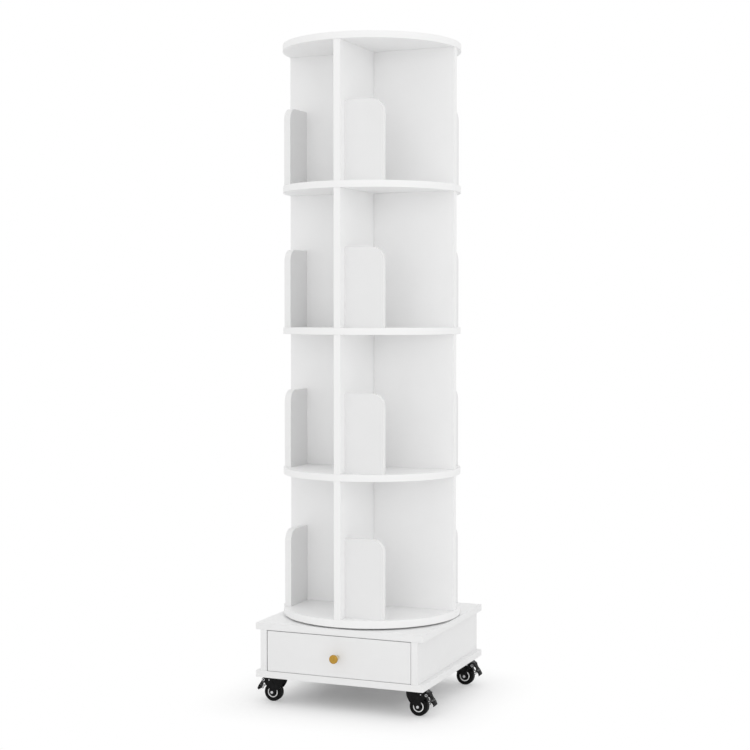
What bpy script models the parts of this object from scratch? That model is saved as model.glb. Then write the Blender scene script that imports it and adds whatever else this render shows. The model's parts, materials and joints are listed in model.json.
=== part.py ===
"""Revolving bookcase: a round shelf tower that turns on a square drawer base with swivel casters.

Metres, +Z up, floor at Z = 0, front toward -Y. The origin is the middle of the overall footprint.
Every piece is placed from the turning axis, which an empty holds at its place in that footprint.
"""

import math

import bmesh
import bpy
from mathutils import Matrix, Vector

MM = 0.001

# Boards and fits
BOARD = 15 * MM  # thickness of every outer board but the lowest disc
EDGE_BEVEL = 1 * MM
CONTACT_GAP = 0.3 * MM  # between pieces that touch
PIN_CLEARANCE = 0.3 * MM  # radial, between a pin and its bore

# Tower
TIERS = 4
DISC_RADIUS = 200 * MM
DISC_SEGMENTS = 72
FLOOR_DISC = 16.5 * MM  # thickness of the lowest disc
TIER_CLEAR = 300 * MM  # clear height between two discs
DIVIDER_SETBACK = 1 * MM  # divider edge behind the disc rim
STOP_HEIGHT = 173.5 * MM
STOP_LENGTH = 88 * MM
STOP_SETBACK = 27 * MM  # outer face of a book stop behind the disc rim
STOP_CORNER = 27 * MM  # radius of the free top corner
STOP_CORNER_STEPS = 6

# Turntable bearing: a ring on the base and a ring under the tower, with a skirt that keeps it central
BEARING_GAP = 4 * MM  # base top to the lowest disc
BEARING_INNER = 90 * MM
BEARING_OUTER = 124 * MM
SKIRT_WIDTH = 5 * MM
TRACK_RADIUS = 109 * MM  # middle of the ball groove
TRACK_DEPTH = 0.7 * MM
RING_STEPS = 48

# Base
BASE_SIDE_EDGE = 3 * MM  # base top inside the disc rim, left and right
BASE_FRONT_EDGE = 3 * MM  # base top inside the disc rim, front and back
SIDE_SETBACK = 12 * MM  # outer face of a base side behind the edge of the base top
BASE_CLEAR = 91 * MM  # between the bottom and top boards

# Drawer
FRONT_SIDE_GAP = 2 * MM
FRONT_TOP_GAP = 3 * MM
FRONT_BOTTOM_GAP = 1 * MM
DRAWER_BOARD = 12 * MM
DRAWER_SIDE_HEIGHT = 70 * MM
DRAWER_LIFT = 6 * MM  # drawer sides above the base bottom
DRAWER_REAR_ROOM = 17 * MM  # drawer back to the base back
PANEL_THICKNESS = 3 * MM  # drawer bottom
PANEL_LIFT = 6 * MM  # drawer bottom above the lower edge of the sides
PANEL_GROOVE = 6 * MM
RUNNER_HEIGHT = 10 * MM
RUNNER_MIDDLE = 41 * MM  # above the base bottom
RUNNER_GROOVE = 6 * MM
RUNNER_SIDE_ROOM = 4 * MM  # drawer side to base side
RUNNER_END_ROOM = 5 * MM
SLIDE_CLEARANCE = 0.5 * MM

# Knob
KNOB_RADIUS = 9.6 * MM
KNOB_NECK = 4.2 * MM
KNOB_FOOT = 4.8 * MM
KNOB_REACH = 25 * MM
SCREW_RADIUS = 2 * MM
SCREW_HEAD_RADIUS = 4 * MM
SCREW_HEAD = 2.5 * MM
KNOB_STEPS = 28

# Casters, in a frame with the kingpin at X = 0 and the wheel trailing toward +X
CASTER_HEIGHT = 60.5 * MM
CASTER_SIDE_INSET = 44 * MM  # kingpin from the side edge of the base
CASTER_FRONT_INSET = 44 * MM  # kingpin from the front or back edge of the base
TRAIL = 20 * MM
WHEEL_RADIUS = 20.5 * MM
WHEEL_SIDE_GAP = 1.5 * MM  # wheel to cheek
WHEEL_STEPS = 24
TYRE_SHOULDER = 2.5 * MM
HUB_RADIUS = 11.5 * MM
HUB_RECESS = 1.5 * MM
AXLE_RADIUS = 3 * MM
AXLE_HEAD_RADIUS = 5 * MM
RIVET_HEAD = 1.6 * MM
FORK_INNER = 20 * MM  # between the two cheeks
FORK_SHEET = 2.5 * MM
SWIVEL_HEIGHT = 6 * MM  # crown below the base
NOSE_REACH = 10.5 * MM  # rounded nose of the fork beyond the kingpin
NOSE_HEIGHT = 5.5 * MM  # full nose below the top of the crown
NOSE_STEPS = 8
KNEE_X = 2 * MM  # where the inner edge of a cheek turns toward the axle
KNEE_Z = 29.5 * MM
THROAT_X = 10.8 * MM  # where that edge meets the axle boss
THROAT_Z = 25 * MM
WAIST_X = 26.5 * MM  # hollow of the outer edge between axle boss and pedal ear
WAIST_Z = 32.5 * MM
CROWN_END = 31 * MM  # crown ends here, so that the pedal has room
AXLE_BOSS = 6 * MM
PIVOT_X = 40 * MM
PIVOT_DROP = 7 * MM  # pedal pivot below the top of the crown
PIVOT_EAR = 4.6 * MM
PIVOT_RADIUS = 2 * MM
PIVOT_HEAD_RADIUS = 3.3 * MM
PEDAL_SIDE_GAP = 0.6 * MM  # pedal to cheek
PEDAL_SHEET = 3 * MM
PEDAL_BOSS = 3.8 * MM
PEDAL_SLOPE = math.radians(60.5)  # below level
PEDAL_OFFSET = 5.2 * MM  # outer face of the plate from its pivot
PEDAL_UP = 5 * MM  # plate above the pivot, along its slope
PEDAL_WEB = 7 * MM  # web under the boss, along the plate
PEDAL_DOWN = 28.5 * MM  # plate below the pivot, along its slope
SHOE_GAP = 1.4 * MM  # brake shoe to tyre at rest
SHOE_SLOPE = math.radians(60.5)  # below level
SHOE_SHEET = 2.2 * MM
SHOE_UP = 12.5 * MM  # shoe above the place where it nears the tyre
SHOE_WEB = 9 * MM  # root of the shoe above that place
SHOE_DOWN = 2.5 * MM  # shoe below that place
PLATE_X = 44 * MM
PLATE_Y = 40 * MM
PLATE_SHEET = 2.5 * MM
RACE_RADIUS = 10 * MM
KINGPIN_RADIUS = 4 * MM
KINGPIN_HEAD_RADIUS = 6.5 * MM
KINGPIN_HEAD = 2.5 * MM
SMALL_STEPS = 20

# Derived sizes
BOTTOM_Z = CASTER_HEIGHT
BASE_INSIDE_Z = BOTTOM_Z + BOARD
BASE_TOP_Z = BASE_INSIDE_Z + BASE_CLEAR
BEARING_Z = BASE_TOP_Z + BOARD
TOWER_Z = BEARING_Z + BEARING_GAP
SHELF_Z = TOWER_Z + FLOOR_DISC
TIER_PITCH = TIER_CLEAR + BOARD
STOP_FACE = DISC_RADIUS - STOP_SETBACK
BASE_WIDTH = 2 * (DISC_RADIUS - BASE_SIDE_EDGE)
BASE_DEPTH = 2 * (DISC_RADIUS - BASE_FRONT_EDGE)
SIDE_OUTER = BASE_WIDTH / 2 - SIDE_SETBACK
SIDE_INNER = SIDE_OUTER - BOARD
FRONT_Y = -BASE_DEPTH / 2
FRONT_BACK_Y = FRONT_Y + BOARD
BACK_Y = BASE_DEPTH / 2 - BOARD
AXIS_Y = (BASE_DEPTH / 2 + KNOB_REACH - DISC_RADIUS) / 2
PANEL_Z = BASE_INSIDE_Z + DRAWER_LIFT + PANEL_LIFT
RUNNER_Z = BASE_INSIDE_Z + RUNNER_MIDDLE
DRAWER_OUTER = SIDE_INNER - RUNNER_SIDE_ROOM
DRAWER_INNER = DRAWER_OUTER - DRAWER_BOARD
DRAWER_END_Y = BACK_Y - DRAWER_REAR_ROOM
FRONT_HEIGHT = BASE_CLEAR - FRONT_TOP_GAP - FRONT_BOTTOM_GAP
KNOB_Z = BASE_INSIDE_Z + FRONT_BOTTOM_GAP + FRONT_HEIGHT / 2
CASTER_X = BASE_WIDTH / 2 - CASTER_SIDE_INSET
CASTER_Y = BASE_DEPTH / 2 - CASTER_FRONT_INSET
CROWN_TOP = CASTER_HEIGHT - SWIVEL_HEIGHT
CROWN_LOW = CROWN_TOP - FORK_SHEET
FORK_OUTER = FORK_INNER / 2 + FORK_SHEET
NOSE_X = FORK_OUTER - NOSE_REACH
PIVOT_Z = CROWN_TOP - PIVOT_DROP
WHEEL_WIDTH = FORK_INNER - 2 * WHEEL_SIDE_GAP
WHEEL_CORNER = WHEEL_RADIUS / math.cos(math.pi / WHEEL_STEPS)
PEDAL_WIDTH = FORK_INNER - 2 * PEDAL_SIDE_GAP


def clear_scene():
    """Removes what the start-up file holds."""
    for item in list(bpy.data.objects):
        bpy.data.objects.remove(item, do_unlink=True)


def new_collection(name):
    """A collection linked to the scene."""
    made = bpy.data.collections.new(name)
    bpy.context.scene.collection.children.link(made)
    return made


def new_material(name, colour, roughness, metallic=0.0):
    """A Principled material of one colour."""
    made = bpy.data.materials.new(name)
    made.use_nodes = True
    shader = made.node_tree.nodes["Principled BSDF"]
    shader.inputs["Base Color"].default_value = (*colour, 1.0)
    shader.inputs["Roughness"].default_value = roughness
    shader.inputs["Metallic"].default_value = metallic
    made.diffuse_color = (*colour, 1.0)
    return made


def finished(shape, name):
    """The mesh of a bmesh, with its faces turned outward."""
    bmesh.ops.recalc_face_normals(shape, faces=shape.faces)
    mesh = bpy.data.meshes.new(name)
    shape.to_mesh(mesh)
    shape.free()
    return mesh


def box_mesh(name, size_x, size_y, size_z):
    """A box centred on its own origin."""
    shape = bmesh.new()
    bmesh.ops.create_cube(shape, size=1.0)
    bmesh.ops.scale(shape, vec=(size_x, size_y, size_z), verts=shape.verts)
    return finished(shape, name)


def cylinder_mesh(name, radius, length, segments, axis="Z"):
    """A cylinder centred on its own origin, along Z or Y."""
    shape = bmesh.new()
    bmesh.ops.create_cone(
        shape, cap_ends=True, segments=segments, radius1=radius, radius2=radius, depth=length
    )
    if axis == "Y":
        turn = Matrix.Rotation(math.pi / 2, 3, "X")
        bmesh.ops.rotate(shape, cent=(0, 0, 0), matrix=turn, verts=shape.verts)
    return finished(shape, name)


def prism_mesh(name, outline, width, axis="Y"):
    """An outline in X and Z carried along Y, or in X and Y carried along Z, and centred there."""
    shape = bmesh.new()
    if axis == "Y":
        corners = [shape.verts.new((x, -width / 2, z)) for x, z in outline]
        carry = (0, width, 0)
    else:
        corners = [shape.verts.new((x, y, -width / 2)) for x, y in outline]
        carry = (0, 0, width)
    face = shape.faces.new(corners)
    made = bmesh.ops.extrude_face_region(shape, geom=[face])
    moved = [part for part in made["geom"] if isinstance(part, bmesh.types.BMVert)]
    bmesh.ops.translate(shape, vec=carry, verts=moved)
    return finished(shape, name)


def profile_mesh(name, profile, axis, closed):
    """A line of (radius, height) points beside the axis, for a Screw to turn."""
    shape = bmesh.new()
    if axis == "Z":
        points = [shape.verts.new((radius, 0, height)) for radius, height in profile]
    else:
        points = [shape.verts.new((radius, height, 0)) for radius, height in profile]
    for first, second in zip(points, points[1:]):
        shape.edges.new((first, second))
    if closed:
        shape.edges.new((points[-1], points[0]))
    mesh = bpy.data.meshes.new(name)
    shape.to_mesh(mesh)
    shape.free()
    return mesh


def arc(middle, radius, start, end, steps):
    """Points of an arc in the plane of an outline, with its angles in degrees."""
    angles = [math.radians(start + (end - start) * step / steps) for step in range(steps + 1)]
    return [(middle[0] + radius * math.cos(a), middle[1] + radius * math.sin(a)) for a in angles]


class Workshop:
    """Makes the objects and keeps the collections that they go in."""

    def __init__(self):
        self.parts = new_collection("revolving_bookcase")
        self.helpers = new_collection("cutters")

    def holder(self, name, parent=None, location=(0, 0, 0), turn=0.0):
        """An empty that carries pieces."""
        empty = bpy.data.objects.new(name, None)
        empty.empty_display_size = 0.05
        empty.parent = parent
        empty.location = location
        empty.rotation_euler = (0, 0, turn)
        self.parts.objects.link(empty)
        return empty

    def piece(self, name, mesh, material, parent, location=(0, 0, 0), turn=0.0):
        """A named piece of the object."""
        made = bpy.data.objects.new(name, mesh)
        if not mesh.materials:
            mesh.materials.append(material)
        made.parent = parent
        made.location = location
        made.rotation_euler = (0, 0, turn)
        self.parts.objects.link(made)
        return made

    def helper(self, name, mesh, parent, location=(0, 0, 0)):
        """A shape that a Boolean cuts with or joins on."""
        made = bpy.data.objects.new(name, mesh)
        made.parent = parent
        made.location = location
        made.hide_render = True
        made.display_type = "WIRE"
        self.helpers.objects.link(made)
        return made


def bevel(piece, width=EDGE_BEVEL):
    """Breaks the sharp edges of a board."""
    modifier = piece.modifiers.new("edge", "BEVEL")
    modifier.width = width
    modifier.segments = 1
    modifier.limit_method = "ANGLE"
    modifier.angle_limit = math.radians(40)


def boolean(piece, other, operation):
    """Joins, cuts or trims a piece with a helper."""
    modifier = piece.modifiers.new(other.name, "BOOLEAN")
    modifier.solver = "EXACT"
    modifier.operation = operation
    modifier.object = other


def turn_profile(piece, axis, steps):
    """Turns a piece's profile once round its axis."""
    modifier = piece.modifiers.new("turned", "SCREW")
    modifier.axis = axis
    modifier.angle = math.tau
    modifier.steps = steps
    modifier.render_steps = steps
    modifier.use_merge_vertices = True
    modifier.merge_threshold = 0.00001
    modifier.use_normal_calculate = True
    modifier.use_normal_flip = axis == "Z"
    modifier.use_smooth_shade = False


def build_tower(shop, tower, white):
    """Five discs, and on each of the lower four a cross of dividers with book stops."""
    floor_mesh = cylinder_mesh("floor_disc", DISC_RADIUS, FLOOR_DISC, DISC_SEGMENTS)
    bevel(shop.piece("shelf_disc_1", floor_mesh, white, tower, (0, 0, TOWER_Z + FLOOR_DISC / 2)))
    disc_mesh = cylinder_mesh("shelf_disc", DISC_RADIUS, BOARD, DISC_SEGMENTS)
    for level in range(1, TIERS + 1):
        middle_z = SHELF_Z + level * TIER_PITCH - BOARD / 2
        disc = shop.piece(f"shelf_disc_{level + 1}", disc_mesh, white, tower, (0, 0, middle_z))
        bevel(disc)

    divider_length = 2 * (DISC_RADIUS - DIVIDER_SETBACK)
    divider_height = TIER_CLEAR - 2 * CONTACT_GAP
    along_x = box_mesh("divider_x", divider_length, BOARD, divider_height)
    along_y = box_mesh("divider_y", BOARD, divider_length, divider_height)
    slot_width = BOARD + 2 * CONTACT_GAP
    slot = box_mesh("divider_slot", slot_width, slot_width, divider_height)
    slot_shift = divider_height / 2 - CONTACT_GAP / 2

    corner = (STOP_LENGTH - STOP_CORNER, STOP_HEIGHT - STOP_CORNER)
    outline = [(0, 0), (STOP_LENGTH, 0)]
    outline += arc(corner, STOP_CORNER, 0, 90, STOP_CORNER_STEPS)
    outline += [(0, STOP_HEIGHT)]
    stop_mesh = prism_mesh("book_stop", outline, BOARD)
    stop_start = Vector((BOARD / 2 + CONTACT_GAP, -(STOP_FACE - BOARD / 2), 0))

    for tier in range(1, TIERS + 1):
        shelf_z = SHELF_Z + (tier - 1) * TIER_PITCH
        middle = Vector((0, 0, shelf_z + TIER_CLEAR / 2))
        board = shop.piece(f"divider_x_{tier}", along_x, white, tower, middle)
        bevel(board)
        above = middle + Vector((0, 0, slot_shift))
        boolean(board, shop.helper(f"divider_x_{tier}_slot", slot, tower, above), "DIFFERENCE")
        board = shop.piece(f"divider_y_{tier}", along_y, white, tower, middle)
        bevel(board)
        below = middle - Vector((0, 0, slot_shift))
        boolean(board, shop.helper(f"divider_y_{tier}_slot", slot, tower, below), "DIFFERENCE")
        for quarter, side in enumerate(("front", "right", "back", "left")):
            turn = quarter * math.pi / 2
            place = Matrix.Rotation(turn, 3, "Z") @ stop_start
            place.z = shelf_z + CONTACT_GAP
            stop = shop.piece(f"book_stop_{tier}_{side}", stop_mesh, white, tower, place, turn)
            bevel(stop)


def build_bearing(shop, stand, tower, steel):
    """The ring on the base and the ring over it, each with a groove for the balls."""
    low = BEARING_Z + CONTACT_GAP
    high = TOWER_Z - CONTACT_GAP
    ring_height = (high - low - CONTACT_GAP) / 2
    skirt = BEARING_INNER + SKIRT_WIDTH
    seat = low + ring_height
    lower_profile = [
        (skirt + CONTACT_GAP, low),
        (BEARING_OUTER, low),
        (BEARING_OUTER, seat),
        (TRACK_RADIUS + TRACK_DEPTH, seat),
        (TRACK_RADIUS, seat - TRACK_DEPTH),
        (TRACK_RADIUS - TRACK_DEPTH, seat),
        (skirt + CONTACT_GAP, seat),
    ]
    mesh = profile_mesh("bearing_lower_ring", lower_profile, "Z", closed=True)
    turn_profile(shop.piece("bearing_lower_ring", mesh, steel, stand), "Z", RING_STEPS)

    under = high - ring_height
    upper_profile = [
        (BEARING_INNER, low),
        (skirt, low),
        (skirt, under),
        (TRACK_RADIUS - TRACK_DEPTH, under),
        (TRACK_RADIUS, under + TRACK_DEPTH),
        (TRACK_RADIUS + TRACK_DEPTH, under),
        (BEARING_OUTER, under),
        (BEARING_OUTER, high),
        (BEARING_INNER, high),
    ]
    mesh = profile_mesh("bearing_upper_ring", upper_profile, "Z", closed=True)
    turn_profile(shop.piece("bearing_upper_ring", mesh, steel, tower), "Z", RING_STEPS)


def build_base(shop, stand, white, runner_finish):
    """The carcass of the base, with a runner on each side."""
    panel = box_mesh("base_panel", BASE_WIDTH, BASE_DEPTH, BOARD)
    bevel(shop.piece("base_bottom", panel, white, stand, (0, 0, BOTTOM_Z + BOARD / 2)))
    bevel(shop.piece("base_top", panel, white, stand, (0, 0, BASE_TOP_Z + BOARD / 2)))

    inside_height = BASE_CLEAR - 2 * CONTACT_GAP
    middle_z = BASE_INSIDE_Z + BASE_CLEAR / 2
    side = box_mesh("base_side", BOARD, BASE_DEPTH, inside_height)
    runner_reach = RUNNER_SIDE_ROOM + RUNNER_GROOVE - SLIDE_CLEARANCE
    runner_start = FRONT_BACK_Y + RUNNER_END_ROOM
    runner_end = BACK_Y - RUNNER_END_ROOM
    runner = box_mesh(
        "runner", runner_reach - CONTACT_GAP, runner_end - runner_start, RUNNER_HEIGHT
    )
    runner_x = SIDE_INNER - (runner_reach + CONTACT_GAP) / 2
    runner_y = (runner_start + runner_end) / 2
    for hand, way in (("left", -1), ("right", 1)):
        place = (way * (SIDE_OUTER - BOARD / 2), 0, middle_z)
        bevel(shop.piece(f"base_side_{hand}", side, white, stand, place))
        place = (way * runner_x, runner_y, RUNNER_Z)
        bevel(shop.piece(f"runner_{hand}", runner, runner_finish, stand, place))

    back = box_mesh("base_back", 2 * (SIDE_INNER - CONTACT_GAP), BOARD, inside_height)
    bevel(shop.piece("base_back", back, white, stand, (0, BACK_Y + BOARD / 2, middle_z)))


def build_drawer(shop, drawer, white, inside_finish, gold):
    """The drawer box, its front and its knob."""
    front_z = BASE_INSIDE_Z + FRONT_BOTTOM_GAP + FRONT_HEIGHT / 2
    front = box_mesh("drawer_front", 2 * (SIDE_INNER - FRONT_SIDE_GAP), BOARD, FRONT_HEIGHT)
    front = shop.piece("drawer_front", front, white, drawer, (0, FRONT_Y + BOARD / 2, front_z))
    bevel(front)
    panel_half = DRAWER_INNER + PANEL_GROOVE - CONTACT_GAP
    groove_height = PANEL_THICKNESS + 2 * CONTACT_GAP
    groove_z = PANEL_Z + PANEL_THICKNESS / 2
    groove = box_mesh(
        "front_groove", 2 * (panel_half + CONTACT_GAP), 2 * PANEL_GROOVE, groove_height
    )
    place = (0, FRONT_BACK_Y, groove_z)
    boolean(front, shop.helper("front_groove", groove, drawer, place), "DIFFERENCE")
    hole = cylinder_mesh(
        "knob_hole", SCREW_RADIUS + PIN_CLEARANCE, 2 * BOARD, SMALL_STEPS, "Y"
    )
    place = (0, FRONT_Y + BOARD / 2, KNOB_Z)
    boolean(front, shop.helper("knob_hole", hole, drawer, place), "DIFFERENCE")

    side_start = FRONT_BACK_Y + CONTACT_GAP
    side_length = DRAWER_END_Y - side_start
    side_y = (side_start + DRAWER_END_Y) / 2
    side_z = BASE_INSIDE_Z + DRAWER_LIFT + DRAWER_SIDE_HEIGHT / 2
    side = box_mesh("drawer_side", DRAWER_BOARD, side_length, DRAWER_SIDE_HEIGHT)
    panel_slot = box_mesh("side_groove", 2 * PANEL_GROOVE, 2 * side_length, groove_height)
    runner_slot = box_mesh(
        "runner_groove",
        2 * RUNNER_GROOVE,
        2 * side_length,
        RUNNER_HEIGHT + 2 * SLIDE_CLEARANCE,
    )
    for hand, way in (("left", -1), ("right", 1)):
        place = (way * (DRAWER_INNER + DRAWER_BOARD / 2), side_y, side_z)
        board = shop.piece(f"drawer_side_{hand}", side, inside_finish, drawer, place)
        bevel(board)
        place = (way * DRAWER_INNER, side_y, groove_z)
        cutter = shop.helper(f"drawer_side_{hand}_groove", panel_slot, drawer, place)
        boolean(board, cutter, "DIFFERENCE")
        place = (way * DRAWER_OUTER, side_y, RUNNER_Z)
        cutter = shop.helper(f"drawer_side_{hand}_runner", runner_slot, drawer, place)
        boolean(board, cutter, "DIFFERENCE")

    back_low = PANEL_Z + PANEL_THICKNESS + CONTACT_GAP
    back_high = side_z + DRAWER_SIDE_HEIGHT / 2
    back = box_mesh(
        "drawer_back", 2 * (DRAWER_INNER - CONTACT_GAP), DRAWER_BOARD, back_high - back_low
    )
    place = (0, DRAWER_END_Y - DRAWER_BOARD / 2, (back_low + back_high) / 2)
    bevel(shop.piece("drawer_back", back, inside_finish, drawer, place))

    panel_start = FRONT_BACK_Y - PANEL_GROOVE + CONTACT_GAP
    panel = box_mesh(
        "drawer_bottom", 2 * panel_half, DRAWER_END_Y - panel_start, PANEL_THICKNESS
    )
    place = (0, (panel_start + DRAWER_END_Y) / 2, groove_z)
    shop.piece("drawer_bottom", panel, inside_finish, drawer, place)

    screw_head = FRONT_BACK_Y + CONTACT_GAP
    foot = FRONT_Y - CONTACT_GAP
    reach = KNOB_REACH - CONTACT_GAP
    profile = [
        (0, foot - reach),
        (0.75 * KNOB_RADIUS, foot - 0.99 * reach),
        (0.94 * KNOB_RADIUS, foot - 0.955 * reach),
        (KNOB_RADIUS, foot - 0.9 * reach),
        (KNOB_RADIUS, foot - 0.8 * reach),
        (0.8 * KNOB_RADIUS, foot - 0.68 * reach),
        (KNOB_NECK, foot - 0.55 * reach),
        (KNOB_NECK, foot - 0.1 * reach),
        (KNOB_FOOT, foot - 0.04 * reach),
        (KNOB_FOOT, foot),
        (SCREW_RADIUS, foot),
        (SCREW_RADIUS, screw_head),
        (SCREW_HEAD_RADIUS, screw_head),
        (SCREW_HEAD_RADIUS, screw_head + 0.6 * SCREW_HEAD),
        (0.7 * SCREW_HEAD_RADIUS, screw_head + SCREW_HEAD),
        (0, screw_head + SCREW_HEAD),
    ]
    knob = profile_mesh("drawer_knob", profile, "Y", closed=False)
    knob = shop.piece("drawer_knob", knob, gold, drawer, (0, 0, KNOB_Z))
    turn_profile(knob, "Y", KNOB_STEPS)


def fork_outline():
    """Side view of the fork: crown, nose, inner edge, axle boss, waist and the ear for the pedal."""
    outline = [(-NOSE_REACH, CROWN_TOP), (-NOSE_REACH, CROWN_TOP - NOSE_HEIGHT)]
    outline += [(KNEE_X, KNEE_Z), (THROAT_X, THROAT_Z)]
    outline += arc((TRAIL, WHEEL_RADIUS), AXLE_BOSS, 200, 350, 6)
    outline += [(WAIST_X, WAIST_Z)]
    outline += arc((PIVOT_X, PIVOT_Z), PIVOT_EAR, -50, 90, 6)
    return outline + [(CROWN_END, CROWN_TOP)]


def fork_plan(half_width, far):
    """The fork from above: two straight sides, closed by a half round nose."""
    outline = arc((NOSE_X, 0), half_width, 90, 270, NOSE_STEPS)
    return outline + [(far, -half_width), (far, half_width)]


def pedal_outline():
    """Side view of the pedal from its pivot: sloping plate, boss, and the brake shoe beside the tyre."""
    down = Vector((math.cos(PEDAL_SLOPE), -math.sin(PEDAL_SLOPE)))
    out = Vector((math.sin(PEDAL_SLOPE), math.cos(PEDAL_SLOPE)))
    face = out * PEDAL_OFFSET
    under = out * (PEDAL_OFFSET - PEDAL_SHEET)
    along = Vector((math.cos(SHOE_SLOPE), -math.sin(SHOE_SLOPE)))
    away = Vector((math.sin(SHOE_SLOPE), math.cos(SHOE_SLOPE)))
    wheel = Vector((TRAIL - PIVOT_X, WHEEL_RADIUS - PIVOT_Z))
    near = wheel + away * (WHEEL_CORNER + SHOE_GAP)
    far = near + away * SHOE_SHEET
    plate = [face + down * PEDAL_DOWN, face - down * PEDAL_UP, under - down * PEDAL_UP]
    shoe = [near - along * SHOE_UP, near + along * SHOE_DOWN, far + along * SHOE_DOWN]
    outline = [tuple(corner) for corner in plate]
    outline += arc((0, 0), PEDAL_BOSS, 110, 190, 4)
    outline += [tuple(corner) for corner in shoe]
    outline += [tuple(far - along * SHOE_WEB)]
    outline += arc((0, 0), PEDAL_BOSS, 285, 300, 1)
    return outline + [tuple(under + down * PEDAL_WEB), tuple(under + down * PEDAL_DOWN)]


def build_caster(shop, stand, corner, black, rubber, steel):
    """One caster: plate with kingpin, fork with axle, wheel, and brake pedal."""
    code, way_x, way_y = corner
    name = f"caster_{code}"
    turn = 0.0 if way_x > 0 else math.pi
    swivel = shop.holder(name, stand, (way_x * CASTER_X, way_y * CASTER_Y, 0), turn)

    top = CASTER_HEIGHT - CONTACT_GAP
    race_low = CROWN_TOP + CONTACT_GAP
    head_top = CROWN_LOW - CONTACT_GAP
    plate = box_mesh("caster_plate", PLATE_X, PLATE_Y, PLATE_SHEET)
    plate = shop.piece(f"{name}_plate", plate, steel, swivel, (0, 0, top - PLATE_SHEET / 2))
    bevel(plate, PLATE_SHEET / 5)
    profile = [
        (0, head_top - KINGPIN_HEAD),
        (0.75 * KINGPIN_HEAD_RADIUS, head_top - KINGPIN_HEAD),
        (KINGPIN_HEAD_RADIUS, head_top - 0.5 * KINGPIN_HEAD),
        (KINGPIN_HEAD_RADIUS, head_top),
        (KINGPIN_RADIUS, head_top),
        (KINGPIN_RADIUS, race_low),
        (RACE_RADIUS, race_low),
        (RACE_RADIUS, top - PLATE_SHEET / 2),
        (0, top - PLATE_SHEET / 2),
    ]
    pin = profile_mesh("caster_kingpin", profile, "Z", closed=False)
    pin = shop.helper(f"{name}_kingpin", pin, swivel)
    turn_profile(pin, "Z", SMALL_STEPS)
    boolean(plate, pin, "UNION")

    far = 2 * CASTER_HEIGHT
    fork = prism_mesh("caster_fork", fork_outline(), far)
    fork = shop.piece(f"{name}_fork", fork, black, swivel)
    plan = prism_mesh("fork_plan", fork_plan(FORK_OUTER, far), 2 * far, "Z")
    boolean(fork, shop.helper(f"{name}_plan", plan, swivel), "INTERSECT")
    channel = [
        (-far, -far),
        (far, -far),
        (far, far),
        (CROWN_END, far),
        (CROWN_END, CROWN_LOW),
        (-far, CROWN_LOW),
    ]
    channel = shop.helper(f"{name}_channel", prism_mesh("fork_channel", channel, far), swivel)
    plan = prism_mesh("channel_plan", fork_plan(FORK_INNER / 2, far / 2), 4 * far, "Z")
    boolean(channel, shop.helper(f"{name}_channel_plan", plan, swivel), "INTERSECT")
    boolean(fork, channel, "DIFFERENCE")
    bore = cylinder_mesh("kingpin_bore", KINGPIN_RADIUS + PIN_CLEARANCE, far, SMALL_STEPS)
    place = (0, 0, CROWN_TOP)
    boolean(fork, shop.helper(f"{name}_bore", bore, swivel, place), "DIFFERENCE")
    hole = cylinder_mesh("pivot_hole", PIVOT_RADIUS + PIN_CLEARANCE, far, SMALL_STEPS, "Y")
    place = (PIVOT_X, 0, PIVOT_Z)
    boolean(fork, shop.helper(f"{name}_pivot_hole", hole, swivel, place), "DIFFERENCE")
    head = FORK_OUTER + RIVET_HEAD
    inset = FORK_OUTER - FORK_SHEET / 2
    profile = [
        (0, -head),
        (0.7 * AXLE_HEAD_RADIUS, -head),
        (AXLE_HEAD_RADIUS, -head + 0.5 * RIVET_HEAD),
        (AXLE_HEAD_RADIUS, -inset),
        (AXLE_RADIUS, -inset),
        (AXLE_RADIUS, inset),
        (AXLE_HEAD_RADIUS, inset),
        (AXLE_HEAD_RADIUS, head - 0.5 * RIVET_HEAD),
        (0.7 * AXLE_HEAD_RADIUS, head),
        (0, head),
    ]
    axle = profile_mesh("caster_axle", profile, "Y", closed=False)
    axle = shop.helper(f"{name}_axle", axle, swivel, (TRAIL, 0, WHEEL_RADIUS))
    turn_profile(axle, "Y", SMALL_STEPS)
    boolean(fork, axle, "UNION")

    half = WHEEL_WIDTH / 2
    bore_radius = AXLE_RADIUS + PIN_CLEARANCE
    profile = [
        (bore_radius, -half),
        (0.5 * HUB_RADIUS, -half),
        (0.6 * HUB_RADIUS, -half + HUB_RECESS),
        (HUB_RADIUS, -half + HUB_RECESS),
        (HUB_RADIUS + HUB_RECESS, -half),
        (WHEEL_CORNER - TYRE_SHOULDER, -half),
        (WHEEL_CORNER, -half + TYRE_SHOULDER),
        (WHEEL_CORNER, half - TYRE_SHOULDER),
        (WHEEL_CORNER - TYRE_SHOULDER, half),
        (HUB_RADIUS + HUB_RECESS, half),
        (HUB_RADIUS, half - HUB_RECESS),
        (0.6 * HUB_RADIUS, half - HUB_RECESS),
        (0.5 * HUB_RADIUS, half),
        (bore_radius, half),
    ]
    wheel = profile_mesh("caster_wheel", profile, "Y", closed=True)
    wheel = shop.piece(f"{name}_wheel", wheel, rubber, swivel, (TRAIL, 0, WHEEL_RADIUS))
    wheel.rotation_euler.y = math.pi / 2 + math.pi / WHEEL_STEPS
    turn_profile(wheel, "Y", WHEEL_STEPS)

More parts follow.
